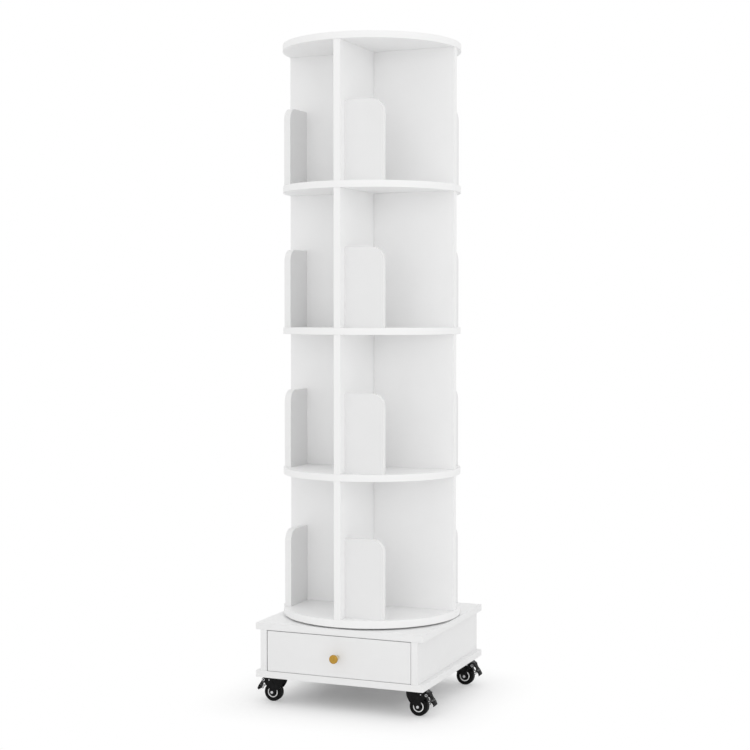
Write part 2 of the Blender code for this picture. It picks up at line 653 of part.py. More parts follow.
    pedal = prism_mesh("caster_pedal", pedal_outline(), PEDAL_WIDTH)
    pedal = shop.piece(f"{name}_pedal", pedal, black, swivel, (PIVOT_X, 0, PIVOT_Z))
    start = FORK_OUTER + CONTACT_GAP
    end = start + RIVET_HEAD
    profile = [
        (0, -end),
        (0.7 * PIVOT_HEAD_RADIUS, -end),
        (PIVOT_HEAD_RADIUS, -end + 0.5 * RIVET_HEAD),
        (PIVOT_HEAD_RADIUS, -start),
        (PIVOT_RADIUS, -start),
        (PIVOT_RADIUS, start),
        (PIVOT_HEAD_RADIUS, start),
        (PIVOT_HEAD_RADIUS, end - 0.5 * RIVET_HEAD),
        (0.7 * PIVOT_HEAD_RADIUS, end),
        (0, end),
    ]
    pin = profile_mesh("pedal_pin", profile, "Y", closed=False)
    pin = shop.helper(f"{name}_pedal_pin", pin, swivel, (PIVOT_X, 0, PIVOT_Z))
    turn_profile(pin, "Y", SMALL_STEPS)
    boolean(pedal, pin, "UNION")


def build_bookcase():
    """Builds every piece."""
    clear_scene()
    shop = Workshop()
    white = new_material("white_board", (0.86, 0.86, 0.85), 0.45)
    inside_finish = new_material("drawer_board", (0.80, 0.79, 0.77), 0.55)
    runner_finish = new_material("runner_plastic", (0.75, 0.75, 0.74), 0.5)
    gold = new_material("knob_brass", (0.72, 0.52, 0.22), 0.3, 1.0)
    steel = new_material("zinc_steel", (0.55, 0.56, 0.58), 0.4, 1.0)
    black = new_material("black_metal", (0.02, 0.02, 0.022), 0.4)
    rubber = new_material("black_tyre", (0.03, 0.03, 0.03), 0.6)

    stand = shop.holder("base", location=(0, AXIS_Y, 0))
    tower = shop.holder("tower", stand)
    drawer = shop.holder("drawer", stand)
    build_tower(shop, tower, white)
    build_bearing(shop, stand, tower, steel)
    build_base(shop, stand, white, runner_finish)
    build_drawer(shop, drawer, white, inside_finish, gold)
    for corner in (("fl", -1, -1), ("fr", 1, -1), ("bl", -1, 1), ("br", 1, 1)):
        build_caster(shop, stand, corner, black, rubber, steel)


build_bookcase()
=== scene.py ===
"""Looks of the revolving bookcase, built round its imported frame.

A board is an outline carried across its thickness with rounded edges. A turned piece is a profile
carried round an axis. The sheet metal of the casters is a set of grids, each with its own formula.
Lengths of the casters are written in millimetres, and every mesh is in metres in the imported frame.
"""

import json
import logging
import math
from abc import ABC, abstractmethod
from collections.abc import Sequence
from dataclasses import dataclass
from enum import Enum
from typing import Any

import bmesh
import bpy
import numpy as np
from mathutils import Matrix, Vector

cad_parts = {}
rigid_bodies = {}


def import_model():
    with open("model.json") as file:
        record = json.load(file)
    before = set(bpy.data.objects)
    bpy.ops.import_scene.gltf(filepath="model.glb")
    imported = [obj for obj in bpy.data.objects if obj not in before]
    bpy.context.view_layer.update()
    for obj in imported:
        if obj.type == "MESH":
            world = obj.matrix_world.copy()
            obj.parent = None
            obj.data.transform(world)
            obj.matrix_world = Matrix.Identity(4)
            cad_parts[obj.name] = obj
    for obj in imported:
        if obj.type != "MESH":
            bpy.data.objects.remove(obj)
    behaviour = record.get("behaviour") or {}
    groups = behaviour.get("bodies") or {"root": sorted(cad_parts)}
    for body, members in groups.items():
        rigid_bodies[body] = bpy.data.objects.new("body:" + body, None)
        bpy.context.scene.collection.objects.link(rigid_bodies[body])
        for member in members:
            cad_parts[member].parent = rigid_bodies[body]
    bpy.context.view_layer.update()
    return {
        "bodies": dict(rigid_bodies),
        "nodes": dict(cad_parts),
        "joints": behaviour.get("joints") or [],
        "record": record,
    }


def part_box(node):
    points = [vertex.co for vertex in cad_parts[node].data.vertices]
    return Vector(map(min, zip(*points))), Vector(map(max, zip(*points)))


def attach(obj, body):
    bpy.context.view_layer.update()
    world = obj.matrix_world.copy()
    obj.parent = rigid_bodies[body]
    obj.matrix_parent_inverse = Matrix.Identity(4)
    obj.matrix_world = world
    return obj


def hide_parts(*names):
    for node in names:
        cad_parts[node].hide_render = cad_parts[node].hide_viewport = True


Array = np.ndarray
Line = Sequence[Sequence[float]]
Pair = tuple[float, float]
Triple = tuple[float, float, float]
Node = bpy.types.Node
Socket = bpy.types.NodeSocket

LOG = logging.getLogger("bookcase")
MM = 0.001
TAU = 2 * math.pi
QUARTER = math.pi / 2
BOTH_WAYS = (-1.0, 1.0)
FLIPPED = (1.0, -1.0)
WHITE = (1.0, 1.0, 1.0, 1.0)
WELD = 1e-6  # points closer than this become one
SHARP_ANGLE = math.radians(38)
BEVEL_ANGLE = math.radians(45)
BEVEL_STEPS = 2
FINE_EDGE = 0.25 * MM
SOFT_EDGE = 0.45 * MM
EDGE_STEPS = 4  # of a small rounded edge or corner
CORNER_SHARE = 2.4  # corner of a board, as a multiple of its edge rounding
JOINT_GAP = 0.29 * MM  # working gap of the solids, which the boards close
EDGE_BAND = "edge_band"
MIX_INPUTS = (0, 6, 7)  # share, first and second colour of a Mix node
MIX_RESULT = 2  # its mixed colour


class Axis(Enum):
    """The axis across which a board is thin, or round which a piece is turned."""

    X = 0
    Y = 1
    Z = 2

    def place(self, plane: Array, along: Array) -> Array:
        """Puts plane coordinates and a coordinate along this axis into the order x, y, z.

        Args:
            plane: Coordinates on the two axes that follow this one, shape (..., 2).
            along: Coordinates on this axis, shape (...).

        Returns:
            Points of shape (..., 3).
        """
        points = np.empty((*plane.shape[:-1], 3))
        points[..., (self.value + 1) % 3] = plane[..., 0]
        points[..., (self.value + 2) % 3] = plane[..., 1]
        points[..., self.value] = along
        return points


class Slot(Enum):
    """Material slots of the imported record."""

    WHITE_BOARD = "white_board"
    DRAWER_BOARD = "drawer_board"
    RUNNER_PLASTIC = "runner_plastic"
    KNOB_BRASS = "knob_brass"
    ZINC_STEEL = "zinc_steel"
    BLACK_METAL = "black_metal"
    BLACK_TYRE = "black_tyre"


class Side(Enum):
    """Sides of the tower in the order in which a quarter turn carries the front stop on."""

    FRONT = "front"
    RIGHT = "right"
    BACK = "back"
    LEFT = "left"

    @property
    def thin(self) -> Axis:
        """Axis across which a book stop on this side is thin."""
        return Axis.Y if self in (Side.FRONT, Side.BACK) else Axis.X

    @property
    def free_end_high(self) -> bool:
        """Whether the free end of the stop is at the high end of its length."""
        return self in (Side.FRONT, Side.RIGHT)


class Corner(Enum):
    """Corners of the base, each with the way in which its caster trails along X."""

    FRONT_LEFT = ("fl", -1.0)
    FRONT_RIGHT = ("fr", 1.0)
    BACK_LEFT = ("bl", -1.0)
    BACK_RIGHT = ("br", 1.0)

    @property
    def code(self) -> str:
        """Letters of this corner in the names of nodes and bodies."""
        return self.value[0]

    @property
    def way(self) -> float:
        """Plus one where the wheel trails to the right, minus one where it trails to the left."""
        return self.value[1]


def unit(vectors: Array) -> Array:
    """Vectors of length one with the same directions."""
    return vectors / np.linalg.norm(vectors, axis=-1, keepdims=True)


def bell(values: Array, width: float) -> Array:
    """A bell curve: e to the power of minus (value / width) squared."""
    return np.exp(-((values / width) ** 2))


def ease(values: Array, start: float, end: float) -> Array:
    """A smooth step from 0 at start to 1 at end: 3 t squared minus 2 t cubed."""
    t = np.clip((values - start) / (end - start), 0.0, 1.0)
    return t * t * (3 - 2 * t)


def circle_points(steps: int) -> Array:
    """Points of the unit circle, (cos t, sin t), with no point twice."""
    turn = np.linspace(0.0, TAU, steps, endpoint=False)
    return np.stack([np.cos(turn), np.sin(turn)], axis=-1)


def mirrored(line: Array) -> Array:
    """A profile of radius and height, and back along its mirror image across height 0."""
    return np.concatenate([line, (line * FLIPPED)[::-1]])


def corner_arcs(
    corners: Array, before: Array, after: Array, radii: Array, steps: int
) -> tuple[Array, Array]:
    """Rounds the corners of a line in a plane.

    The normal of an arc turns evenly from that of the edge before to that of the edge after. The
    middle of the arc is the corner less radius / (1 + cos(turn)) times the sum of both normals, so
    point = middle + radius * normal. The radius counts as negative where the line turns right.

    Args:
        corners: Corners, shape (n, 2).
        before: Directions of the edges that end at the corners.
        after: Directions of the edges that start at the corners.
        radii: Radius of each corner.
        steps: Steps of each arc.

    Returns:
        Points and their normals, each of shape (n * (steps + 1), 2).
    """
    first = np.stack([before[:, 1], -before[:, 0]], axis=-1)
    second = np.stack([after[:, 1], -after[:, 0]], axis=-1)
    cross = before[:, 0] * after[:, 1] - before[:, 1] * after[:, 0]
    turn = np.arctan2(cross, (before * after).sum(axis=-1))
    signed = np.sign(cross) * radii
    middle = corners - (signed / (1 + np.cos(turn)))[:, None] * (first + second)
    share = np.linspace(0.0, 1.0, steps + 1)
    angle = np.arctan2(first[:, 1], first[:, 0])[:, None] + turn[:, None] * share
    normals = np.stack([np.cos(angle), np.sin(angle)], axis=-1)
    points = middle[:, None] + signed[:, None, None] * normals
    return points.reshape(-1, 2), normals.reshape(-1, 2)


def rounded_line(corners: Line, radii: float | Sequence[float], steps: int) -> Array:
    """An open line whose inner corners are rounded by arcs.

    Args:
        corners: Corners of the line, with its two ends.
        radii: One radius, or one for each inner corner.
        steps: Steps of each arc.

    Returns:
        Points of shape (n, 2).
    """
    line = np.asarray(corners, dtype=float)
    inner = line[1:-1]
    radius = np.broadcast_to(np.asarray(radii, dtype=float), len(inner))
    arcs, _ = corner_arcs(inner, unit(inner - line[:-2]), unit(line[2:] - inner), radius, steps)
    return np.concatenate([line[:1], arcs, line[-1:]])


@dataclass(frozen=True)
class Outline:
    """A closed line in a plane, run counter-clockwise, with the normals that point out of it."""

    points: Array
    normals: Array

    @classmethod
    def circle(cls, middle: Sequence[float], radius: float, steps: int) -> "Outline":
        """A circle of so many steps: middle + radius * (cos t, sin t)."""
        normals = circle_points(steps)
        return cls(np.asarray(middle) + radius * normals, normals)

    @classmethod
    def polygon(cls, corners: Line, radii: float | Sequence[float], steps: int) -> "Outline":
        """A polygon with rounded corners, by the formula of corner_arcs.

        Args:
            corners: Corners, counter-clockwise.
            radii: One radius, or one for each corner.
            steps: Steps of each arc.

        Returns:
            The outline.
        """
        corner = np.asarray(corners, dtype=float)
        radius = np.broadcast_to(np.asarray(radii, dtype=float), len(corner))
        before = unit(corner - np.roll(corner, 1, axis=0))
        after = unit(np.roll(corner, -1, axis=0) - corner)
        return cls(*corner_arcs(corner, before, after, radius, steps))

    @classmethod
    def upright(cls, corners: Line, radii: Sequence[float], steps: int, thin: Axis) -> "Outline":
        """A polygon written as run and height, in the plane across a level axis.

        Across X that plane is Y and Z, so the line stays as it is. Across Y it is Z and X, so run
        and height change places, and the line goes backwards to stay counter-clockwise.

        Args:
            corners: Corners as run and height, counter-clockwise.
            radii: Radius of each corner.
            steps: Steps of each arc.
            thin: Axis across which the board is thin.

        Returns:
            The outline.
        """
        if thin is Axis.Y:
            corners, radii = [(z, x) for x, z in corners][::-1], radii[::-1]
        return cls.polygon(corners, radii, steps)

    @property
    def closed(self) -> Array:
        """The points with the first one again at the end."""
        return np.concatenate([self.points, self.points[:1]])


def turned(profile: Array, axis: Axis, middle: Sequence[float], steps: int) -> Array:
    """A profile carried round an axis.

    Point(u, v) = middle + r(u) * (cos v, sin v) in the plane across the axis + h(u) along the axis.

    Args:
        profile: Radius and height of each point, shape (n, 2).
        axis: Axis of the turning.
        middle: Place of the profile's origin.
        steps: Steps of a full turn.

    Returns:
        A grid of shape (n, steps, 3).
    """
    plane = profile[:, :1, None] * circle_points(steps)
    return axis.place(plane, np.broadcast_to(profile[:, 1:], plane.shape[:2])) + np.asarray(middle)


def wire(path: Array, radius: float, sides: int, across: Triple) -> Array:
    """A round wire along a path that stays clear of one direction.

    Point(u, v) = path(u) + radius * (cos v * n(u) + sin v * b(u)), with n at right angles to the
    path and to the direction across, and b at right angles to both. Each end closes on a point.

    Args:
        path: Points of the path, shape (n, 3).
        radius: Radius of the wire.
        sides: Points round the wire.
        across: Direction that the path never follows.

    Returns:
        A grid of shape (n + 2, sides, 3).
    """
    tangent = unit(np.gradient(path, axis=0))
    first = unit(np.cross(tangent, np.asarray(across)))[:, None]
    second = np.cross(tangent[:, None], first)
    ring = circle_points(sides)
    rings = path[:, None] + radius * (ring[:, :1] * first + ring[:, 1:] * second)
    start, end = (np.broadcast_to(path[i], (1, sides, 3)) for i in (0, -1))
    return np.concatenate([start, rings, end])


def grid_faces(rows: int, columns: int, wrapped: bool) -> Array:
    """Corner numbers of the quads of a grid.

    Args:
        rows: Rows of the grid.
        columns: Columns of the grid.
        wrapped: Whether the last column joins the first.

    Returns:
        Numbers of shape (quads, 4).
    """
    row, column = np.mgrid[: rows - 1, : columns - (not wrapped)]
    beside = (column + 1) % columns
    quads = [row * columns + column, row * columns + beside]
    quads += [(row + 1) * columns + beside, (row + 1) * columns + column]
    return np.stack(quads, axis=-1).reshape(-1, 4)


class Draft:
    """The surfaces of one piece, before they become a mesh."""

    def __init__(self) -> None:
        """Starts with no surface."""
        self.points: list[Array] = []
        self.bands: list[Array] = []
        self.faces: list[list[int]] = []
        self.count = 0

    def grid(
        self, points: Array, wrapped: bool = False, capped: bool = False, band: Array | None = None
    ) -> "Draft":
        """Adds a grid of points.

        Args:
            points: Grid of shape (rows, columns, 3).
            wrapped: Whether the last column joins the first.
            capped: Whether one face closes the first row and one the last.
            band: Share of edge band in each row, none where it is left out.

        Returns:
            This draft.
        """
        rows, columns = points.shape[:2]
        self.faces += (grid_faces(rows, columns, wrapped) + self.count).tolist()
        if capped:
            ring = np.arange(columns) + self.count
            self.faces += [ring[::-1].tolist(), (ring + (rows - 1) * columns).tolist()]
        share = np.zeros(rows) if band is None else band
        self.points.append(points.reshape(-1, 3))
        self.bands.append(np.repeat(share, columns))
        self.count += rows * columns
        return self

    def to_object(self, name: str) -> bpy.types.Object:
        """Makes the mesh: doubles merged, so that seams and poles close, and normals turned out.

        Args:
            name: Name of the object and of its mesh.

        Returns:
            The object, at the origin and in the scene.
        """
        mesh = bpy.data.meshes.new(name)
        mesh.from_pydata(np.concatenate(self.points).tolist(), [], self.faces)
        band = mesh.attributes.new(EDGE_BAND, "FLOAT", "POINT")
        band.data.foreach_set("value", np.concatenate(self.bands).astype(np.float32))
        shape = bmesh.new()
        shape.from_mesh(mesh)
        bmesh.ops.remove_doubles(shape, verts=shape.verts, dist=WELD)
        bmesh.ops.recalc_face_normals(shape, faces=shape.faces)
        shape.to_mesh(mesh)
        shape.free()
        mesh.shade_smooth()
        mesh.set_sharp_from_angle(angle=SHARP_ANGLE)
        piece = bpy.data.objects.new(name, mesh)
        bpy.context.scene.collection.objects.link(piece)
        return piece


def slab(
    outline: Outline, axis: Axis, low: float, high: float, rounding: float = FINE_EDGE
) -> Draft:
    """A board with rounded edges.

    Point(u, v) = outline(u) - inset(v) * normal(u), at height(v) along the axis. Inset and height
    follow a quarter circle at each edge and stay straight between, with one narrow flat strip on
    each side of a rounding, so that the wide faces shade as flat.

    Args:
        outline: Outline in the plane across the axis.
        axis: Axis of the thickness.
        low: Lower face.
        high: Upper face.
        rounding: Radius of the edges.

    Returns:
        The draft.
    """
    share = np.linspace(0.0, 1.0, EDGE_STEPS + 1)
    inset = rounding * (1 - np.sin(QUARTER * share))
    rise = rounding * (1 - np.cos(QUARTER * share))
    strip = [2 * rounding]
    insets = np.concatenate([strip, inset, [0.0, 0.0], inset[::-1], strip])
    heights = np.concatenate([[0.0], rise, strip])
    heights = np.concatenate([low + heights, high - heights[::-1]])
    band = np.concatenate([[0.0], share, [1.0, 1.0], share[::-1], [0.0]])
    plane = outline.points - insets[:, None, None] * outline.normals
    grid = axis.place(plane, np.broadcast_to(heights[:, None], plane.shape[:2]))
    return Draft().grid(grid, wrapped=True, capped=True, band=band)


def thicken(piece: bpy.types.Object, sheet: float, edge: float) -> None:
    """Gives a sheet its thickness, rounds its edges and evens its shading.

    Args:
        piece: Piece made of the middle surface of the sheet.
        sheet: Thickness in millimetres.
        edge: Rounding of its edges in millimetres.
    """
    solid = piece.modifiers.new("thickness", "SOLIDIFY")
    solid.thickness = sheet * MM
    solid.offset = 0.0
    solid.use_even_offset = True
    rounding = piece.modifiers.new("edges", "BEVEL")
    rounding.width = edge * MM
    rounding.segments = BEVEL_STEPS
    rounding.limit_method = "ANGLE"
    rounding.angle_limit = BEVEL_ANGLE
    piece.modifiers.new("shading", "WEIGHTED_NORMAL")


class Bench:
    """The node tree of one material, with calls for the nodes that the finishes share."""

    def __init__(self, name: str) -> None:
        """Makes the material.

        Args:
            name: Name of the material.
        """
        self.material = bpy.data.materials.new(name)
        self.material.use_nodes = True
        self.tree = self.material.node_tree
        self.shader = self.tree.nodes["Principled BSDF"]
        self.place = self.add("ShaderNodeTexCoord").outputs["Object"]

    def add(self, kind: str, inputs: dict[Any, Any] | None = None, **settings: Any) -> Node:
        """Adds a node.

        Args:
            kind: Type of the node.
            inputs: Values or links of its inputs, by name or number.
            settings: Properties of the node.

        Returns:
            The node.
        """
        node = self.tree.nodes.new(kind)
        for key, value in settings.items():
            setattr(node, key, value)
        for key, value in (inputs or {}).items():
            self.feed(node.inputs[key], value)
        return node

    def feed(self, socket: Socket, value: Any) -> None:
        """Sets a socket, or links an output to it.

        Args:
            socket: Input of a node.
            value: Value or output for it.
        """
        if isinstance(value, Socket):
            self.tree.links.new(value, socket)
        else:
            socket.default_value = value

    def stretched(self, scale: Triple) -> Socket:
        """Object coordinates, scaled along each axis."""
        return self.add("ShaderNodeMapping", {"Vector": self.place, "Scale": scale}).outputs[0]

    def noise(self, waves: float, octaves: float = 2.0, place: Socket | None = None) -> Socket:
        """Noise from 0 to 1, of so many waves per metre, on Object or other coordinates."""
        inputs = {"Vector": place or self.place, "Scale": waves, "Detail": octaves}
        return self.add("ShaderNodeTexNoise", inputs).outputs["Fac"]

    def spread(
        self, value: Socket, low: float, high: float, start: float = 0.3, end: float = 0.7
    ) -> Socket:
        """Maps a value onto a range, smoothly.

        Args:
            value: Value to map.
            low: Result at start.
            high: Result at end.
            start: Where the range starts.
            end: Where it ends.

        Returns:
            The mapped value.
        """
        inputs = {"Value": value, "From Min": start, "From Max": end, "To Min": low, "To Max": high}
        node = self.add("ShaderNodeMapRange", inputs, interpolation_type="SMOOTHSTEP")
        return node.outputs["Result"]

    def math(self, operation: str, first: Any, second: Any = 0.0) -> Socket:
        """Result of a Math node."""
        return self.add("ShaderNodeMath", {0: first, 1: second}, operation=operation).outputs[0]

    def mixed(self, share: Socket, first: Any, second: Triple) -> Socket:
        """Two colours mixed.

        Args:
            share: Share of the second colour.
            first: First colour, a value or a link.
            second: Second colour.

        Returns:
            The colour.
        """
        under = (*first, 1.0) if isinstance(first, tuple) else first
        inputs = dict(zip(MIX_INPUTS, (share, under, (*second, 1.0))))
        return self.add("ShaderNodeMix", inputs, data_type="RGBA").outputs[MIX_RESULT]

    def band(self) -> Socket:
        """Share of edge band at a point of a board."""
        node = self.add("ShaderNodeAttribute", attribute_name=EDGE_BAND, attribute_type="GEOMETRY")
        return node.outputs["Fac"]

    def bump(self, height: Socket, depth: float, strength: float = 1.0) -> None:
        """Gives the shader a normal bumped by a height from 0 to 1, to a depth in metres."""
        inputs = {"Height": height, "Distance": depth, "Strength": strength}
        self.feed(self.shader.inputs["Normal"], self.add("ShaderNodeBump", inputs).outputs[0])

    def dress(self, colour: Socket, rough: Socket, metal: float = 0.0, gloss: float = 0.5) -> None:
        """Gives the shader its surface.

        Args:
            colour: Base colour.
            rough: Roughness.
            metal: Metallic share.
            gloss: Level of the mirror reflection.
        """
        values = {"Base Color": colour, "Roughness": rough, "Metallic": metal}
        values["Specular IOR Level"] = gloss
        for name, value in values.items():
            self.feed(self.shader.inputs[name], value)


def grey(level: float) -> Triple:
    """A grey of one level."""
    return (level, level, level)


@dataclass(frozen=True)
class Finish(ABC):
    """A finish that one or more pieces carry. Waves are per metre, and lengths in metres."""

    name: str

    @abstractmethod
    def lay(self, bench: Bench) -> None:
        """Lays the finish on the shader of a bench."""

    def make(self) -> bpy.types.Material:
        """Makes the material of this finish.

        Returns:
            The material.
        """
        bench = Bench(self.name)
        self.lay(bench)
        return bench.material


@dataclass(frozen=True)
class WhiteLaminate(Finish):
    """Matt white laminate: faint clouding, a fine pearl grain, and glued edge bands."""

    name: str = "white_laminate"
    face: Triple = grey(0.95)
    edge: Triple = (0.93, 0.93, 0.928)
    edge_from: Pair = (0.45, 0.6)
    cloud: Triple = grey(0.1)
    cloud_share: float = 0.018
    cloud_waves: float = 9
    pearl: Triple = grey(0.4)
    pearl_share: float = 0.025
    pearl_waves: float = 1300
    glue: Triple = (0.6, 0.6, 0.59)
    glue_share: float = 0.2
    glue_rise: Pair = (0.3, 0.5)
    glue_fall: Pair = (0.5, 0.7)
    rough: Pair = (0.4, 0.52)
    rough_waves: float = 70
    gloss: float = 0.3
    ripple_waves: float = 45
    ripple_share: float = 1.5
    depth: float = 0.00003

    def lay(self, bench: Bench) -> None:
        """Clouds and pearls the face, and lays the edge band with its glue line over it.

        Args:
            bench: Bench of the material.
        """
        pearl = bench.noise(self.pearl_waves, octaves=1)
        band = bench.band()
        cloud = bench.spread(bench.noise(self.cloud_waves, octaves=3), 0, self.cloud_share)
        colour = bench.mixed(cloud, self.face, self.cloud)
        colour = bench.mixed(bench.spread(pearl, 0, self.pearl_share), colour, self.pearl)
        colour = bench.mixed(bench.spread(band, 0, 1, *self.edge_from), colour, self.edge)
        rising = bench.spread(band, 0, self.glue_share, *self.glue_rise)
        falling = bench.spread(band, 1, 0, *self.glue_fall)
        colour = bench.mixed(bench.math("MULTIPLY", rising, falling), colour, self.glue)
        rough = bench.spread(bench.noise(self.rough_waves, octaves=3), *self.rough)
        bench.dress(colour, rough, gloss=self.gloss)
        ripple = bench.noise(self.ripple_waves, octaves=1)
        ripple = bench.math("MULTIPLY", ripple, self.ripple_share)
        bench.bump(bench.math("ADD", pearl, ripple), self.depth)


@dataclass(frozen=True)
class PaperBoard(Finish):
    """Paper-faced drawer board: a faint printed fibre along its length."""

    name: str = "paper_board"
    pale: Triple = (0.8, 0.79, 0.77)
    fibre: Triple = (0.74, 0.725, 0.7)
    fibre_share: float = 0.6
    waves: float = 40
    stretch: Triple = (6, 0.6, 14)
    rough: Pair = (0.5, 0.62)
    depth: float = 0.00005
    strength: float = 0.6

    def lay(self, bench: Bench) -> None:
        """Draws one noise out along the boards for tone, gloss and bumps.

        Args:
            bench: Bench of the material.
        """
        fibre = bench.noise(self.waves, octaves=4, place=bench.stretched(self.stretch))
        colour = bench.mixed(bench.spread(fibre, 0, self.fibre_share), self.pale, self.fibre)
        bench.dress(colour, bench.spread(fibre, *self.rough))
        bench.bump(fibre, self.depth, self.strength)


@dataclass(frozen=True)
class MouldedPlastic(Finish):
    """Pale moulded plastic: a fine spark-eroded grain and slow variation of gloss."""

    name: str = "moulded_plastic"
    pale: Triple = (0.75, 0.75, 0.74)
    worn: Triple = (0.66, 0.66, 0.655)
    worn_share: float = 0.8
    worn_waves: float = 160
    rough: Pair = (0.34, 0.48)
    rough_waves: float = 220
    grain_waves: float = 2600
    depth: float = 0.00003

    def lay(self, bench: Bench) -> None:
        """Varies tone, gloss and grain by a noise each.

        Args:
            bench: Bench of the material.
        """
        wear = bench.spread(bench.noise(self.worn_waves, octaves=3), 0, self.worn_share)
        colour = bench.mixed(wear, self.pale, self.worn)
        bench.dress(colour, bench.spread(bench.noise(self.rough_waves), *self.rough))
        bench.bump(bench.noise(self.grain_waves), self.depth)


@dataclass(frozen=True)
class SatinBrass(Finish):
    """Satin gold: turning lines round the knob and a slightly uneven lacquer."""

    name: str = "satin_brass"
    gold: Triple = (0.52, 0.31, 0.062)
    deep: Triple = (0.46, 0.27, 0.05)
    cloud_waves: float = 180
    line_waves: float = 2400
    stretch: Triple = (0.04, 1, 0.04)
    rough: Pair = (0.26, 0.42)
    rough_from: Pair = (0.7, 1.3)
    depth: float = 0.00001

    def lay(self, bench: Bench) -> None:
        """Lays lines along the knob's axis over a clouded gold.

        Args:
            bench: Bench of the material.
        """
        lines = bench.noise(self.line_waves, place=bench.stretched(self.stretch))
        cloud = bench.noise(self.cloud_waves, octaves=3)
        colour = bench.mixed(bench.spread(cloud, 0, 1), self.gold, self.deep)
        uneven = bench.math("ADD", lines, cloud)
        rough = bench.spread(uneven, *self.rough, *self.rough_from)
        bench.dress(colour, rough, metal=1.0)
        bench.bump(lines, self.depth)


@dataclass(frozen=True)
class ZincPlate(Finish):
    """Zinc plated steel: a fine spangle in tone and gloss."""

    name: str = "zinc_plate"
    bright: Triple = (0.66, 0.67, 0.69)
    dull: Triple = (0.45, 0.46, 0.48)
    cells: float = 420
    film_waves: float = 300
    rough: Pair = (0.26, 0.42)
    grain_waves: float = 1800
    depth: float = 0.00001

    def lay(self, bench: Bench) -> None:
        """Gives each cell of the spangle a tone of its own, under an uneven film.

        Args:
            bench: Bench of the material.
        """
        cells = bench.add("ShaderNodeTexVoronoi", {"Vector": bench.place, "Scale": self.cells})
        tone = bench.add("ShaderNodeSeparateColor", {0: cells.outputs["Color"]}).outputs[0]
        film = bench.noise(self.film_waves, octaves=3)
        colour = bench.mixed(bench.math("MULTIPLY", tone, film), self.bright, self.dull)
        bench.dress(colour, bench.spread(film, *self.rough), metal=1.0)
        bench.bump(bench.noise(self.grain_waves), self.depth)


@dataclass(frozen=True)
class BlackCoat(Finish):
    """A black coat with paler patches and a fine grain, as stove paint or a tyre has."""

    name: str = "black_paint"
    black: Triple = (0.004, 0.004, 0.0043)
    pale: Triple = (0.011, 0.011, 0.0115)
    patch_waves: float = 130
    patch_from: Pair = (0.45, 0.75)
    rough: Pair = (0.24, 0.4)
    gloss: float = 0.11
    grain_waves: float = 900
    octaves: float = 2
    depth: float = 0.00004

    def lay(self, bench: Bench) -> None:
        """Lays patches of a paler tone and another gloss, and the grain.

        Args:
            bench: Bench of the material.
        """
        patch = bench.noise(self.patch_waves, octaves=4)
        colour = bench.mixed(bench.spread(patch, 0, 1, *self.patch_from), self.black, self.pale)
        bench.dress(colour, bench.spread(patch, *self.rough), gloss=self.gloss)
        bench.bump(bench.noise(self.grain_waves, self.octaves), self.depth)


@dataclass(frozen=True)
class PedalPaint(Finish):
    """Dull black paint of a pedal, with painted highlights: paler on its head and upper tread."""

    name: str = "pedal_paint"
    paint: Triple = (0.004, 0.004, 0.0043)
    # Paler tone of the painted highlights on the head and the tread.
    rubbed: Triple = (0.17, 0.17, 0.173)
    head: Pair = (0.0515, 0.0555)
    tread: float = 0.0362
    tread_reach: float = 0.0019
    patch: Pair = (0.45, 1.0)
    patch_waves: float = 170
    rough: Pair = (0.26, 0.42)
    gloss: float = 0.055
    grain_waves: float = 900
    depth: float = 0.00004

    def lay(self, bench: Bench) -> None:
        """Paints highlights above the head's height and about the tread's height, in patches.

        Args:
            bench: Bench of the material.
        """
        height = bench.add("ShaderNodeSeparateXYZ", {0: bench.place}).outputs["Z"]
        away = bench.math("ABSOLUTE", bench.math("SUBTRACT", height, self.tread))
        tread = bench.spread(away, 1, 0, 0, self.tread_reach)
        head = bench.spread(height, 0, 1, *self.head)
        patch = bench.spread(bench.noise(self.patch_waves, octaves=4), *self.patch)
        share = bench.math("MULTIPLY", bench.math("MAXIMUM", head, tread), patch)
        colour = bench.mixed(share, self.paint, self.rubbed)
        bench.dress(colour, bench.spread(patch, *self.rough, *self.patch), gloss=self.gloss)
        bench.bump(bench.noise(self.grain_waves), self.depth)


BASE_EDGE = (0.885, 0.885, 0.884)
DUSTY_RUBBER = BlackCoat(
    "black_rubber",
    black=grey(0.004),
    pale=(0.013, 0.013, 0.0125),
    patch_waves=260,
    patch_from=(0.5, 0.8),
    rough=(0.5, 0.68),
    gloss=0.12,
    grain_waves=1500,
    octaves=3,
    depth=0.00005,
)


